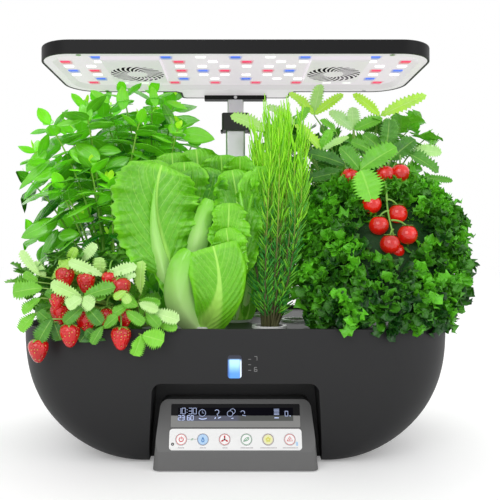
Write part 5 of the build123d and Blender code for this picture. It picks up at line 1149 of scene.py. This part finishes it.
class ToothedPlant:
    """Shared by the plants with toothed leaflets: green ones, pale ones and their stalks."""

    FORM = dict(thick=0.3, fold=0.22, cup=0.1, teeth=0.36, ruffle=0.14, waves=2.0, pucker=0.08, veins=6)

    def leaflets(self, name, slot, node, fills, pod, rng, face, deep, light, pale, size, shape):
        """Builds a plant's leaflets from its table and, in threes, from fills of its crown: count, skin,
        band, shade and sector. A shade of 1 or more in the table marks a pale leaflet."""
        start, end, width, tone = table_leaves(self.LEAVES, longer=1.12)
        aim = face + rng.normal(0, 0.25, start.shape)
        finishes = [leaf_finish(name + kind, *colours, 7.0, share=share, through=0.12, Roughness=roughness)
                    for kind, colours, share, roughness in (
                        (" leaf", (deep, light, (0.45, 0.80, 0.15)), 0.3, 0.38),
                        (" pale leaf", (*pale, (0.7, 0.9, 0.45)), 0.35, 0.45))]
        green, light_ones, stems = Piece(), Piece(), Piece()
        for piece, chosen, less in ((green, tone < 1, 0), (light_ones, tone >= 1, 1)):
            grow(piece, start[chosen], end[chosen], aim[chosen], width[chosen] * 1.3, tone[chosen] - less,
                 arch=0.1, phase=rng.uniform(0, 6, chosen.sum()), outline=shape, rows=25, cols=7, **self.FORM)
        for crown, count, skin, band, shade, sector in fills:
            spots, out = crown_spots(crown, count, rng, skin, band, sector)
            along = unit(out + rng.normal(0, 0.4, out.shape)) - UP * 0.25
            ends = spots + along * rng.uniform(0.8, 1.15, (count, 1)) * size
            up = UP * 0.8 + out * 0.7 + rng.normal(0, 0.3, out.shape)
            tones = np.clip(shade + rng.normal(0, 0.15, count), 0, 1)
            grow(green, *threes(spots, ends, up, np.full(count, size * 0.95), tones), arch=0.12,
                 outline=shape, rows=13, cols=5, **self.FORM)
            self.petioles(stems, spots, pod, rng)
        self.petioles(stems, start, pod, rng)
        green.plant(name + "_leaves", finishes[0], slot, node)
        light_ones.plant(name + "_pale_leaves", finishes[1], slot)
        stalk = shaded(name + " stalk", (0.05, 0.20, 0.02), (0.36, 0.60, 0.12), Roughness=0.5)
        stems.plant(name + "_stalks", stalk, slot)

    def petioles(self, stems, ends, pod, rng):
        """Leaf stalks from a pod to the feet of leaflets."""
        foot = feet(pod, len(ends), rng, 7)
        stalks(stems, foot, foot * (0.7, 0.7, 0.2) + ends * (0.3, 0.3, 0.8), ends, 1.1, 0.6, 10)


def fruit_finish(name, colour, seeds):
    """Glossy skin; with seeds it is dimpled round pale pips on a cell pattern."""
    # The skin glows a little: painted light that brightens it
    made, n, shader = principled(name, Roughness=0.12, Coat_Weight=0.45, Emission_Strength=0.2)
    tone = n.mix(n.ramp(n.noise(n.coordinates(), 45.0), 0.3, 0.75), tuple(c * 0.55 for c in colour), colour)
    if seeds:
        top = n.axes(n.coordinates("UV"))[1]
        tone = n.mix(n.ramp(top, 0.8, 0.98, 0.0, 0.5), tone, (0.85, 0.35, 0.20))
        far = n.cells(330.0, Randomness=0.35)
        tone = n.mix(n.ramp(far, 0.24, 0.14), tone, (0.75, 0.40, 0.06))
        n.bump(shader, n.ramp(far, 0.05, 0.55) - n.ramp(far, 0.2, 0.1) * 0.6, 0.0008)
    n.fill(shader, Base_Color=tone, Emission_Color=tone)
    return made


def star(piece, centres, radius, rng, droop=0.2):
    """Calyx: five narrow sepals round the top of each fruit, one at every 72 degrees."""
    for k in range(5):
        angle = 2 * math.pi * k / 5 + rng.uniform(0, 1.2, len(centres))
        out = np.stack((np.cos(angle), np.sin(angle), np.zeros(len(centres))), -1)
        grow(piece, centres, centres + out * radius - UP * radius * droop, UP, radius * 0.36, 0.7, arch=0.25,
             outline=pointed(0.35, 0.8), rows=7, cols=3, thick=0.3, fold=0.2)


class GrowStrawberry(bpy.types.Operator, ToothedPlant):
    """Strawberry: toothed leaflets, pale and green, over hanging and half hidden berries"""
    bl_idname = "garden.strawberry"
    bl_label = "Strawberry"

    LEAVES = ((-175.3, -128, 176.2, -189.6, 196.8, 8.1, 1.75), (-171.1, -124, 175.1, -181, 186.9, 9, 1.7),
              (-172, -130, 165.5, -195.2, 162, 16.1, 0.72), (-177.7, -126, 170.7, -188.5, 177.9, 8.1, 0.75),
              (-173.2, -132, 156.8, -186.5, 144.3, 11.6, 0.85),
              (-177, -134, 143.6, -188.5, 129.4, 11.5, 0.85), (-167.1, -122, 173.2, -146.3, 189.5, 8.2, 1.2),
              (-140, -118, 176.7, -158.3, 188.6, 8.2, 1.1), (-154.3, -112, 186.6, -147, 200.4, 8.3, 1.15),
              (-141.9, -110, 188.4, -129, 203.2, 10.2, 1.85), (-118.3, -126, 176.1, -146.2, 187.8, 9.9, 1.8),
              (-118.3, -126, 176.1, -91.3, 184.2, 9.9, 1.85),
              (-122.7, -118, 176.7, -122.7, 191.3, 11.9, 1.45),
              (-105.3, -128, 171.7, -90.1, 176.2, 7.2, 1.95), (-85.6, -122, 159.6, -83.8, 186.8, 11.8, 1.35),
              (-135.2, -138, 158.1, -159, 169.5, 11.5, 1.6), (-134.8, -140, 157.4, -145.3, 149.5, 14, 1.8),
              (-133.9, -140, 157.4, -124.2, 151.2, 13.2, 1.75), (-134.4, -138, 158.1, -107.9, 166, 13.2, 0.5),
              (-129.7, -139, 154.6, -114.8, 157.3, 8.8, 0.6),
              (-133.5, -138, 150.2, -148.5, 136.9, 10.6, 0.35),
              (-131.7, -138, 150.2, -118.5, 136.1, 12.3, 0.25),
              (-116.5, -139, 132.7, -124.4, 118.6, 8.8, 0.45),
              (-115.7, -139, 130.9, -104.2, 140.6, 9.7, 0.55), (-162, -137, 138.6, -171.7, 121, 13.2, 0.25),
              (-162.5, -135, 135.7, -172.3, 144.6, 10.6, 0.35),
              (-161.6, -132, 135.4, -155.4, 121.1, 11.6, 0.08), (-86.5, -134, 149.8, -98, 156, 10.6, 0.8),
              (-85.5, -135, 152.6, -69.5, 147.2, 8.9, 1.7), (-96.8, -136, 145.6, -81.8, 135.8, 9.7, 0.65),
              (-95.9, -136, 150, -106.5, 143.8, 8.8, 0.6), (-85.3, -130, 154.8, -68.4, 152.1, 8, 0.7),
              (-74.3, -132, 144.3, -52.1, 138.1, 11.6, 1.8), (-67.5, -130, 131.6, -53.2, 130.7, 8, 0.85),
              (-79.4, -134, 144.5, -67.9, 133, 9.8, 0.6), (-83.1, -139, 124.7, -88.4, 108.9, 12.3, 0.95),
              (-82.2, -139, 124.7, -64.6, 120.3, 16.7, 0.98), (-99.6, -140, 162.6, -93.5, 153.8, 7.9, 1.3),
              (-96.1, -140, 163.5, -104.9, 157.4, 7, 1.2), (-111.5, -124, 170.6, -115.1, 176.9, 7.2, 1.1),
              (-155.7, -134, 155.1, -166.4, 162.2, 8, 0.3), (-123.8, -134, 121.4, -130.9, 128.5, 8.9, 0.2))
    INNER = ((-154.5, -122, 174.1), (-158.9, -132, 154.1), (-134.5, -126, 169.8), (-101.9, -132, 164.8),
             (-134.5, -126, 134.7), (-115.2, -128, 138.5), (-99.4, -126, 138.3), (-157.9, -126, 141.9),
             (-113.3, -124, 171.5))
    HANGING = ((-174.0, -137.0, 110.5), (-146.0, -137.0, 124.0), (-101.0, -137.0, 121.5))
    STALKS = ((-152.0, -116.0, 142.0), (-144.0, -122.0, 152.0), (-104.0, -122.0, 150.0))

    PROFILE = ((0, -1.167), (0.22, -1.13), (0.42, -0.98), (0.62, -0.68), (0.82, -0.25), (0.95, 0.12),
               (1.0, 0.42), (0.95, 0.72), (0.80, 0.94), (0.55, 1.08), (0.3, 1.12), (0.12, 1.08), (0, 1.06))

    def execute(self, context):
        rng = np.random.default_rng(5)
        fills = ((STRAWBERRY, 56, (0.45, 0.8), (0.1, 0.9), 0.45, (-20, 200)),
                 (STRAWBERRY, 80, (0.1, 0.72), (0.0, 0.85), 0.2, (0, 360)))
        self.leaflets("strawberry", "strawberry_green", "strawberry_plant", fills, PODS[0], rng,
                      FRONT + UP * 0.35, (0.010, 0.11, 0.006), (0.20, 0.60, 0.03),
                      ((0.30, 0.62, 0.025), (0.52, 0.78, 0.34)), 21.0, pointed(0.75, 0.42))
        finish = fruit_finish("berry skin", context.scene.garden_plants.berry, True)
        green = shaded("berry stalk", (0.08, 0.30, 0.02), (0.34, 0.66, 0.10), Roughness=0.5)
        for name, centres, nodes in (("strawberry_berries", self.HANGING, ("strawberry_fruits",)),
                                     ("strawberry_inner_berries", self.INNER, ())):
            centres = np.array(centres)
            fruit, caps = Piece(), Piece()
            sizes = 9.0 if nodes else rng.uniform(7.2, 9.0, len(centres))
            fruit.add(*turned(centres, sizes, self.PROFILE, 28))
            top = centres + UP * 9.6
            star(caps, top, 8.5, rng)
            stalks(caps, top, top + UP * 8, np.array(self.STALKS) if nodes else top + (0, 14, 9), 0.9, 0.7)
            fruit.plant(name, finish, "berry_red", *nodes)
            caps.plant(name + "_caps", green, "strawberry_green")
        return {"FINISHED"}


class GrowTomato(bpy.types.Operator, ToothedPlant):
    """Tomato plant: toothed leaflets over the parsley, and the truss of cherry tomatoes"""
    bl_idname = "garden.tomato"
    bl_label = "Tomato plant"

    LEAVES = ((162.8, 20, 350.5, 209, 370.8, 13.5, 1.2), (162.8, 20, 350.5, 134.6, 371.9, 11.3, 1.1),
              (88.4, 20, 351.6, 95.2, 382, 14.6, 1.7), (87.8, 15, 350.6, 116.9, 370.7, 10.1, 1.15),
              (87.8, 15, 350.6, 62.1, 371.8, 12.3, 1.15), (65.2, 0, 336.5, 36.7, 354, 15.3, 1.75),
              (66.3, 0, 336.5, 79.4, 352.9, 9.9, 0.8), (33.2, -5, 329, -1.6, 343.1, 15.2, 1.6),
              (130.6, 10, 332.8, 106.1, 350.6, 14.4, 1.85), (130.9, 12, 333.2, 129.8, 355.5, 14.5, 1.8),
              (131.7, 10, 332.8, 159.5, 344, 13.3, 0.75), (110.9, 5, 329.7, 94.3, 340.7, 11, 0.8),
              (162.6, -5, 308.3, 165.9, 337.7, 22.8, 0.3), (156.5, -8, 310, 139.2, 323, 14.1, 0.35),
              (166.9, -10, 296.7, 190.6, 316.2, 20.5, 0.22), (180.9, -14, 304.7, 213.2, 284.3, 18.3, 0.3),
              (193.9, -6, 308.1, 220, 304.9, 13, 1.8), (201.8, -16, 276.6, 228.6, 273.4, 7.5, 0.45),
              (185.2, -18, 280.6, 202.3, 265.7, 10.7, 0.8), (203.9, -20, 263.4, 218.8, 248.5, 6.4, 1.6),
              (124, -64, 279.2, 155.9, 299.1, 22.9, 0.62), (124.4, -62, 279.4, 105.4, 299.4, 18, 0.4),
              (121.1, -84, 276.7, 129.8, 248.7, 26.1, 0.82), (148.4, -62, 258.5, 176.4, 265.4, 11, 0.9),
              (94.8, 0, 308, 67.4, 333.2, 14.2, 1.15), (93.7, -8, 306.7, 119.7, 319.7, 9.7, 1.7),
              (94.8, 0, 308, 103.5, 328.8, 12.1, 0.9), (117.6, -14, 290.8, 81.1, 301.5, 16.1, 0.15),
              (116.9, -18, 282.8, 81.7, 275.3, 14.9, 0.2), (121.5, -22, 278, 116.2, 253.6, 13.8, 0.3),
              (108.2, -12, 285.7, 89.9, 292.1, 12.9, 0.1), (144.9, -12, 307.2, 125.5, 314.7, 12.9, 0.5),
              (178, 0, 328.8, 162.7, 339.7, 13.1, 0.5), (100.6, -20, 263.4, 81.4, 252.7, 13.8, 0.2),
              (167.1, -18, 274.2, 145.7, 289.2, 12.8, 0.3), (175.1, -20, 263.4, 196.4, 252.7, 10.6, 0.4))
    TOMATOES = ((132.5, -80.0, 244.0), (156.5, -84.0, 234.5), (137.0, -90.0, 223.0), (162.5, -97.0, 214.0),
                (144.5, -103.0, 205.0), (153.2, -92, 198.5))
    REAR = ((148.5, -66, 274.5), (163.9, -64, 276.2), (114.8, -60, 272.7))
    TRUSS = ((148.0, -22.0, 286.0), (147.0, -70.0, 280.0), (146.0, -84.0, 246.0), (151.0, -102.0, 205.0))

    def execute(self, context):
        rng = np.random.default_rng(8)
        fills = ((TOMATO, 56, (0.6, 0.94), (0.2, 0.84), 0.75, (-15, 195)),
                 (TOMATO, 50, (0.1, 0.7), (0.1, 0.8), 0.25, (0, 360)))
        self.leaflets("tomato", "tomato_green", "tomato_plant", fills, PODS[8], rng, FRONT + UP * 0.45,
                      (0.008, 0.10, 0.004), (0.20, 0.66, 0.03), ((0.46, 0.86, 0.02), (0.42, 0.72, 0.30)),
                      31.0, pointed(0.62, 0.58))
        finish = fruit_finish("tomato skin", context.scene.garden_plants.tomato, False)
        green = shaded("truss stalk", (0.06, 0.24, 0.02), (0.32, 0.60, 0.10), Roughness=0.5)
        out, up = np.sin(np.linspace(math.pi, 0.0, 19)), np.cos(np.linspace(math.pi, 0.0, 19))
        rows = np.stack((out, 0.97 * up - 0.22 * np.exp(-(out / 0.3) ** 2) * (up > 0)), -1)
        spine = np.array(self.TRUSS)
        for name, centres, nodes in (("truss_tomatoes", self.TOMATOES, ("tomato_truss",)),
                                     ("rear_tomatoes", self.REAR, ())):
            centres = np.array(centres)
            sizes = np.where(np.arange(len(centres)) > 4, 7.8, 9.4)
            fruit, caps = Piece(), Piece()
            fruit.add(*turned(centres, sizes, rows, 32))
            top = centres + UP * sizes[:, None] * 0.82
            star(caps, top, 6.0, rng, -0.15)
            ends = top + (4, 16, 12)
            if nodes:
                high = top[:, 2] + 6
                join = [np.interp(high, spine[::-1, 2], spine[::-1, k]) for k in range(2)]
                ends = np.column_stack((*join, np.minimum(high, spine[1, 2])))
                stalks(caps, spine[:1], spine[1:2] + (0, -6, 0), spine[2:3], 1.2, 1.0)
                stalks(caps, spine[2:3], (spine[2:3] + spine[3:]) / 2 + (-3, 0, 0), spine[3:], 1.0, 0.7)
            stalks(caps, top, (top + ends) / 2 + UP * 4, ends, 0.8, 1.0)
            fruit.plant(name, finish, "tomato_red", *nodes)
            caps.plant(name + "_stalks", green, "tomato_green")
        return {"FINISHED"}


class HeadLettuce:
    """Shared by the two lettuces: broad leaves about a short stump, from rows of start, bend, end, face,
    width, cup, ruffle and shade, and bare ribs from rows of start, bend, end, width and tip."""

    ROWS, COLS = 60, 17

    def head(self, name, slot, node, colours, seed):
        """Builds a head's leaves and ribs; a leaf with no ruffle is the plain cupped one in front."""
        rng = np.random.default_rng(seed)
        made, bare = Piece(), Piece()
        for start, bend, end, face, width, cup, ruffle, shade in self.LEAVES:
            shape, frill = (HEAD_LEAF, 0.35) if ruffle else (CUP_LEAF, 0.0)
            points, faces, uv = blades(np.array((start,)), np.array((bend,)), np.array((end,)), face, width,
                                       shape, 110, 31, thick=0.8, fold=0.05, cup=cup, ruffle=ruffle,
                                       waves=5.0, frill=frill, pucker=0.10, veins=9, phase=rng.uniform(0, 6),
                                       rib=3.0, crisp=3)
            made.add(points, faces, uv, shade)
        for start, bend, end, width, tip in self.RIBS:
            shape = cornered((0, 0.6), (0.15, 0.95), (0.35, 1.0), (0.85, 0.9 * tip + 0.1), (0.96, 0.8 * tip),
                             (1, 0.5 * tip))
            points, faces, uv = blades(np.array((start,)), np.array((bend,)), np.array((end,)), (0, -1, 0.1),
                                       width, shape, self.ROWS, self.COLS, thick=2.0, fold=-0.25, cup=-0.5,
                                       pucker=0.02)
            bare.add(points, faces, uv, np.linspace(1, 0, self.ROWS).repeat(2 * self.COLS))
        deep = tuple(c * f for c, f in zip(colours.lettuce, (0.10, 0.30, 0.15)))
        finish = leaf_finish(name + " leaf", deep, colours.lettuce, (0.46, 0.84, 0.14), 10.0, share=0.75,
                             rib=0.05, base=1.3, net=0.15, margin=0.7, relief=0.15, depth=0.0012,
                             through=0.08, Roughness=0.34)
        made.plant(name + "_leaves", finish, slot, node)
        pale = shaded(name + " rib", colours.lettuce, colours.lettuce_rib, through=0.08, Roughness=0.22,
                      Coat_Weight=0.4)
        bare.plant(name + "_ribs", pale, slot)


class GrowRomaine(bpy.types.Operator, HeadLettuce):
    """Romaine: pale thick ribs that open into broad crinkled leaves"""
    bl_idname = "garden.romaine"
    bl_label = "Romaine"

    LEAVES = (
        ((-37.2, -84, 123.3), (-88.3, -122, 214), (-68.2, -108, 278.4), (0.2, -1, 0.1), 80, -0.1, 0.26, 0.65),
        ((-32.3, -84, 121.3), (-4.9, -128, 154.7), (-20.5, -120, 203.1), (0.15, -1, 0.15), 54, -0.25, 0, 0.75),
        ((-29.5, -62, 149.5), (-30.4, -84, 218.8), (-35, -88, 278.1), (0, -1, 0.1), 56, 0.2, 0.28, 0.2),
        ((-23.3, -66, 135), (-7, -104, 180.8), (-6, -110, 243), (0.3, -1, 0.1), 38, 0.2, 0.35, 0.85),
        ((-25.2, -68, 125.3), (15.7, -92, 188.1), (-3.4, -88, 276.2), (0.1, -1, 0.1), 46, 0.1, 0.35, 0.55),
        ((-23.3, -66, 128), (0.5, -108, 167), (-8.8, -112, 219.8), (0.2, -1, 0.1), 34, 0.1, 0.4, 0.95),
        ((-33.1, -50, 128.2), (-57.6, -60, 219.5), (-63.1, -66, 295.8), (-0.2, -1, 0.3), 50, 0.1, 0.4, 0.6),
        ((-31.2, -46, 127.8), (-30, -50, 219.9), (-39.6, -60, 300.7), (0, -1, 0.3), 56, 0.1, 0.4, 0.7),
        ((-29, -50, 128.2), (-9.6, -56, 219.7), (-14.4, -66, 293.8), (0.2, -1, 0.3), 50, 0.1, 0.4, 0.45),
        ((-35.4, -64, 129.8), (-75.3, -80, 199.5), (-80.6, -84, 286.4), (0, -1, 0.2), 46, 0.0, 0.35, 0.6),
        ((-32.6, -60, 129.3), (-44.2, -80, 199.5), (-49.2, -90, 283.6), (0, -1, 0.2), 50, 0.1, 0.4, 0.5),
        ((-38, -70, 126), (-80, -40, 200), (-82, -40, 270), (0.3, 1, 0.2), 60, 0.1, 0.25, 0.6),
        ((-32, -66, 126), (-40, -20, 200), (-36, -34, 282), (0, 1, 0.2), 62, 0.1, 0.25, 0.7),
        ((-28, -70, 126), (0, -40, 200), (-6, -46, 270), (-0.3, 1, 0.2), 50, 0.1, 0.25, 0.6),
    )
    RIBS = (((-33.2, -86, 120.6), (-67.3, -131, 160.3), (-42.1, -123, 199.5), 30, 0.75),
            ((-39.1, -84, 121.3), (-85.9, -126, 197.7), (-71.7, -117, 265.3), 17, 0.1),
            ((-40.1, -98, 178.7), (-36.3, -114, 212.4), (-24.3, -116, 246.2), 20, 0.8),
            ((-21.9, -80, 121.8), (17.9, -114, 179.3), (3.3, -98, 258), 12, 0.3))

    def execute(self, context):
        self.head("romaine", "romaine_green", "romaine_plant", context.scene.garden_plants, 2)
        return {"FINISHED"}


class GrowLeafLettuce(bpy.types.Operator, HeadLettuce):
    """Leaf lettuce: a narrower head behind the romaine with frilled tops"""
    bl_idname = "garden.leaf_lettuce"
    bl_label = "Leaf lettuce"

    LEAVES = (
        ((3.7, -17, 119.3), (-1.5, -60, 187.5), (19.3, -98, 273.1), (0.3, -1, 0.1), 34, -0.1, 0.4, 0.75),
        ((4.8, -12, 122), (4.6, -50, 230), (4.3, -88, 289.6), (0, -1, 0.2), 36, 0.1, 0.45, 0.85),
        ((5.9, -10, 121.7), (26.6, -60, 209.5), (25, -98, 278.7), (0.2, -1, 0.2), 28, 0.1, 0.45, 0.95),
        ((1.6, -15, 121.2), (-14, -40, 187.1), (-7.3, -76, 277.7), (-0.2, -1, 0.1), 34, 0.1, 0.4, 0.5),
        ((3.7, -20, 120.7), (15.3, -26, 151), (15, -40, 211.9), (0.2, -1, 0.1), 22, 0.1, 0.25, 0.35),
        ((0.5, -22, 118.8), (-10, -26, 127.7), (-10, -26, 146.7), (0, -1, 0.2), 14, 0.1, 0.2, 0.4),
        ((5.8, -22, 118.8), (15.3, -26, 127.7), (15.3, -26, 148.8), (0, -1, 0.2), 14, 0.1, 0.2, 0.5),
        ((-2, -12, 126), (-24, 20, 210), (-22, 20, 280), (-0.3, 1, 0.2), 40, 0.1, 0.28, 0.6),
        ((2, -12, 126), (14, 26, 210), (14, 20, 286), (0.3, 1, 0.2), 40, 0.1, 0.28, 0.7),
    )
    RIBS = (((0.5, -18, 119.4), (0.5, -66, 187.6), (15.6, -98, 252.3), 9, 0.4),
            ((4.8, -16, 119.2), (19.1, -40, 168.5), (14.5, -60, 209.5), 7, 0.4))

    def execute(self, context):
        self.head("lettuce", "lettuce_green", "leaf_lettuce_plant", context.scene.garden_plants, 4)
        return {"FINISHED"}


class GrowRosemary(bpy.types.Operator):
    """Rosemary: a fan of woody stems set with needles, dark below and yellow-green at the tops"""
    bl_idname = "garden.rosemary"
    bl_label = "Rosemary"

    STEMS, NEEDLES = 96, 54
    # Heights at which the wood and the needles turn pale, and over what height they do so
    WOOD, GREEN = (190, 100), (205, 80)

    def rise(self, height, low, span):
        """Share from 0 to 1 by which a height has passed a span above a low one."""
        return np.clip((height - low) / span, 0, 1)

    def execute(self, context):
        rng = np.random.default_rng(9)
        tops, _ = crown_spots(ROSEMARY, self.STEMS, rng, (0.1, 1.0), (0.45, 0.98))
        foot = feet(PODS[2], self.STEMS, rng, 8)
        bend = foot * (0.15, 0.15, 0.6) + tops * (0.85, 0.85, 0.4) + rng.normal(0, 5, foot.shape)
        points, faces = tubes(curves(foot, bend, tops, 24), np.linspace(1.3, 0.4, 24), 5)
        stems, needles = Piece(), Piece()
        stems.add(points, faces, shade=self.rise(points[..., 2], *self.WOOD).ravel())
        ends = foot[:, None], bend[:, None], tops[:, None]
        t = np.linspace(0.16, 1, self.NEEDLES)[:, None]
        t = t + rng.uniform(-0.006, 0.006, (self.STEMS, self.NEEDLES, 1))
        base, ahead = arc(*ends, t).reshape(-1, 3), arc_ahead(*ends, t).reshape(-1, 3)
        out = rng.normal(0, 1, base.shape)
        out = unit(out - (out * ahead).sum(-1, keepdims=True) * ahead)
        high = self.rise(base[:, 2:], *self.GREEN)
        length = rng.uniform(9, 14, (len(base), 1)) * (1 + 0.9 * high)
        along = unit(ahead * (0.75 + 0.9 * high) + out * (0.75 - 0.3 * high) + UP * 0.15)
        reach = along * length
        points, faces = tubes(curves(base, base + reach * 0.5 + out * length * 0.08, base + reach, 3),
                              np.array((0.55, 0.75, 0.4)), 3)
        tone = np.clip(0.12 + 0.9 * high[:, 0] + rng.normal(0, 0.24, len(base)), 0, 1)
        needles.add(points, faces, shade=np.repeat(tone, points.shape[1] * points.shape[2]))
        green = shaded("needle", (0.03, 0.26, 0.03), context.scene.garden_plants.rosemary, through=0.15,
                       Roughness=0.45)
        needles.plant("rosemary_needles", green, "rosemary_green", "rosemary_plant")
        wood = shaded("woody stem", (0.09, 0.09, 0.03), (0.42, 0.62, 0.06), Roughness=0.7)
        stems.plant("rosemary_stems", wood, "rosemary_green")
        return {"FINISHED"}


class GrowParsley(bpy.types.Operator):
    """Curly parsley: a dense cushion of small frilled fans in clusters over a dark middle of painted shade"""
    bl_idname = "garden.parsley"
    bl_label = "Parsley"

    CLUSTERS, FANS = 400, 9
    # Middle and half width of the cushion, whose sides are painted lighter as lit, height and span of its top,
    # painted lighter too, where its front ends, and how far from a tomato, and in front of and behind what
    # line, fans stand back
    MIDDLE, HALF, TOP, SPAN, FRONT_END = 145, 82, 215, 60, -76
    CLEAR, BEFORE, BEHIND = 17, -60, -70.0

    def execute(self, context):
        colours = context.scene.garden_plants
        rng = np.random.default_rng(6)
        core = Piece()
        core.add(*crown_core(PARSLEY, rng, 0.74))
        shadow = surface("parsley shade", (0.004, 0.05, 0.004), 0.8, grain=200, depth=0.002, drift=0.5)
        core.build("parsley_shade_middle", shadow, "garden", nodes=("parsley_plant",))
        spots, out = crown_spots(PARSLEY, self.CLUSTERS, rng, (0.8, 0.95), (0.0, 1.0), None)
        tops, up = crown_spots(PARSLEY, 30, rng, (0.1, 0.9), (0.9, 1.0))
        spots, out = np.concatenate((spots, tops)), np.concatenate((out, up * 0.3 + UP))
        # Fans in front of the tomatoes stand back behind them
        apart = (spots[:, None] - np.array(GrowTomato.TOMATOES))[..., (0, 2)]
        behind = (np.linalg.norm(apart, axis=-1).min(1) < self.CLEAR) & (spots[:, 1] < self.BEFORE)
        spots[behind, 1] = np.maximum(spots[behind, 1], self.BEHIND)
        base, aim = np.repeat(spots, self.FANS, 0), np.repeat(out, self.FANS, 0)
        base = base + rng.normal(0, 2.2, base.shape)
        along = unit(aim * 0.9 + rng.normal(0, 0.75, base.shape) + UP * 0.15)
        size = rng.uniform(8, 15, (len(base), 1))
        face = unit(aim + UP * 0.5 + rng.normal(0, 0.4, base.shape))
        # Painted light: fans at the cushion's sides and top, and fans that face up, are lighter; the rest of
        # the tone is random
        edge = np.abs((spots[:, 0] - self.MIDDLE) / self.HALF) ** 3 * 0.25
        edge = edge + np.clip((spots[:, 2] - self.TOP) / self.SPAN, 0, 1) * 0.25
        tone = np.repeat(rng.uniform(0.0, 0.97, len(spots)) ** 2 + edge, self.FANS)
        tone = np.clip(tone + along[:, 2] * 0.25 + rng.normal(0, 0.12, len(base)), 0, 1)
        wave = rng.uniform(0, 6.3, len(base))
        finish = leaf_finish("parsley leaf", (0.002, 0.05, 0.002), colours.parsley, (0.20, 0.62, 0.06), 3.0,
                             share=0.15, through=0.05, Roughness=0.42)
        front = base[:, 1] < self.FRONT_END
        for name, part in (("parsley_front", front), ("parsley_rear", ~front)):
            fans = Piece()
            grow(fans, base[part], (base + along * size)[part], face[part], size[part, 0] * 1.15, tone[part],
                 arch=0.15, outline=cornered((0, 0.1), (0.45, 0.6), (0.8, 1.0), (1, 0.5)), rows=5, cols=4,
                 thick=0.3, fold=0.1, cup=0.3, ruffle=0.75, waves=2.2, teeth=0.4, phase=wave[part])
            fans.plant(name, finish, "parsley_green")
        return {"FINISHED"}


# ---------------------------------------------------------------- panel and registration
GROUP_CLASSES = (
    ("garden_stage", StageSizes), ("garden_housing", HousingColours), ("garden_lights", LightColours),
    ("garden_plants", PlantColours),
)
OPERATORS = (BuildStage, DressHousing, BuildLevelWindow, BuildLamp, BuildDisplay, PrintKeys, BuildSponges,
             GrowBasil, GrowStrawberry, GrowRomaine, GrowLeafLettuce, GrowRosemary, GrowTomato, GrowParsley)


class GardenPanel(bpy.types.Panel):
    """Sizes, colours and the steps that build the garden's looks"""
    bl_idname = "VIEW3D_PT_garden"
    bl_label = "Hydroponic Garden"
    bl_space_type = "VIEW_3D"
    bl_region_type = "UI"
    bl_category = "Garden"

    def draw(self, context):
        for name, group_class in GROUP_CLASSES:
            box = self.layout.box()
            for prop in group_class.__annotations__:
                box.prop(getattr(context.scene, name), prop)
        for operator in OPERATORS:
            self.layout.operator(operator.bl_idname)


def register():
    for name, group_class in GROUP_CLASSES:
        bpy.utils.register_class(group_class)
        setattr(bpy.types.Scene, name, bpy.props.PointerProperty(type=group_class))
    for item in (*OPERATORS, GardenPanel):
        bpy.utils.register_class(item)


def unregister():
    for item in reversed((*OPERATORS, GardenPanel)):
        bpy.utils.unregister_class(item)
    for name, group_class in reversed(GROUP_CLASSES):
        delattr(bpy.types.Scene, name)
        bpy.utils.unregister_class(group_class)


def main():
    """Builds every piece in order."""
    register()
    for operator in OPERATORS:
        space, name = operator.bl_idname.split(".")
        getattr(getattr(bpy.ops, space), name)()


if __name__ == "__main__":
    main()
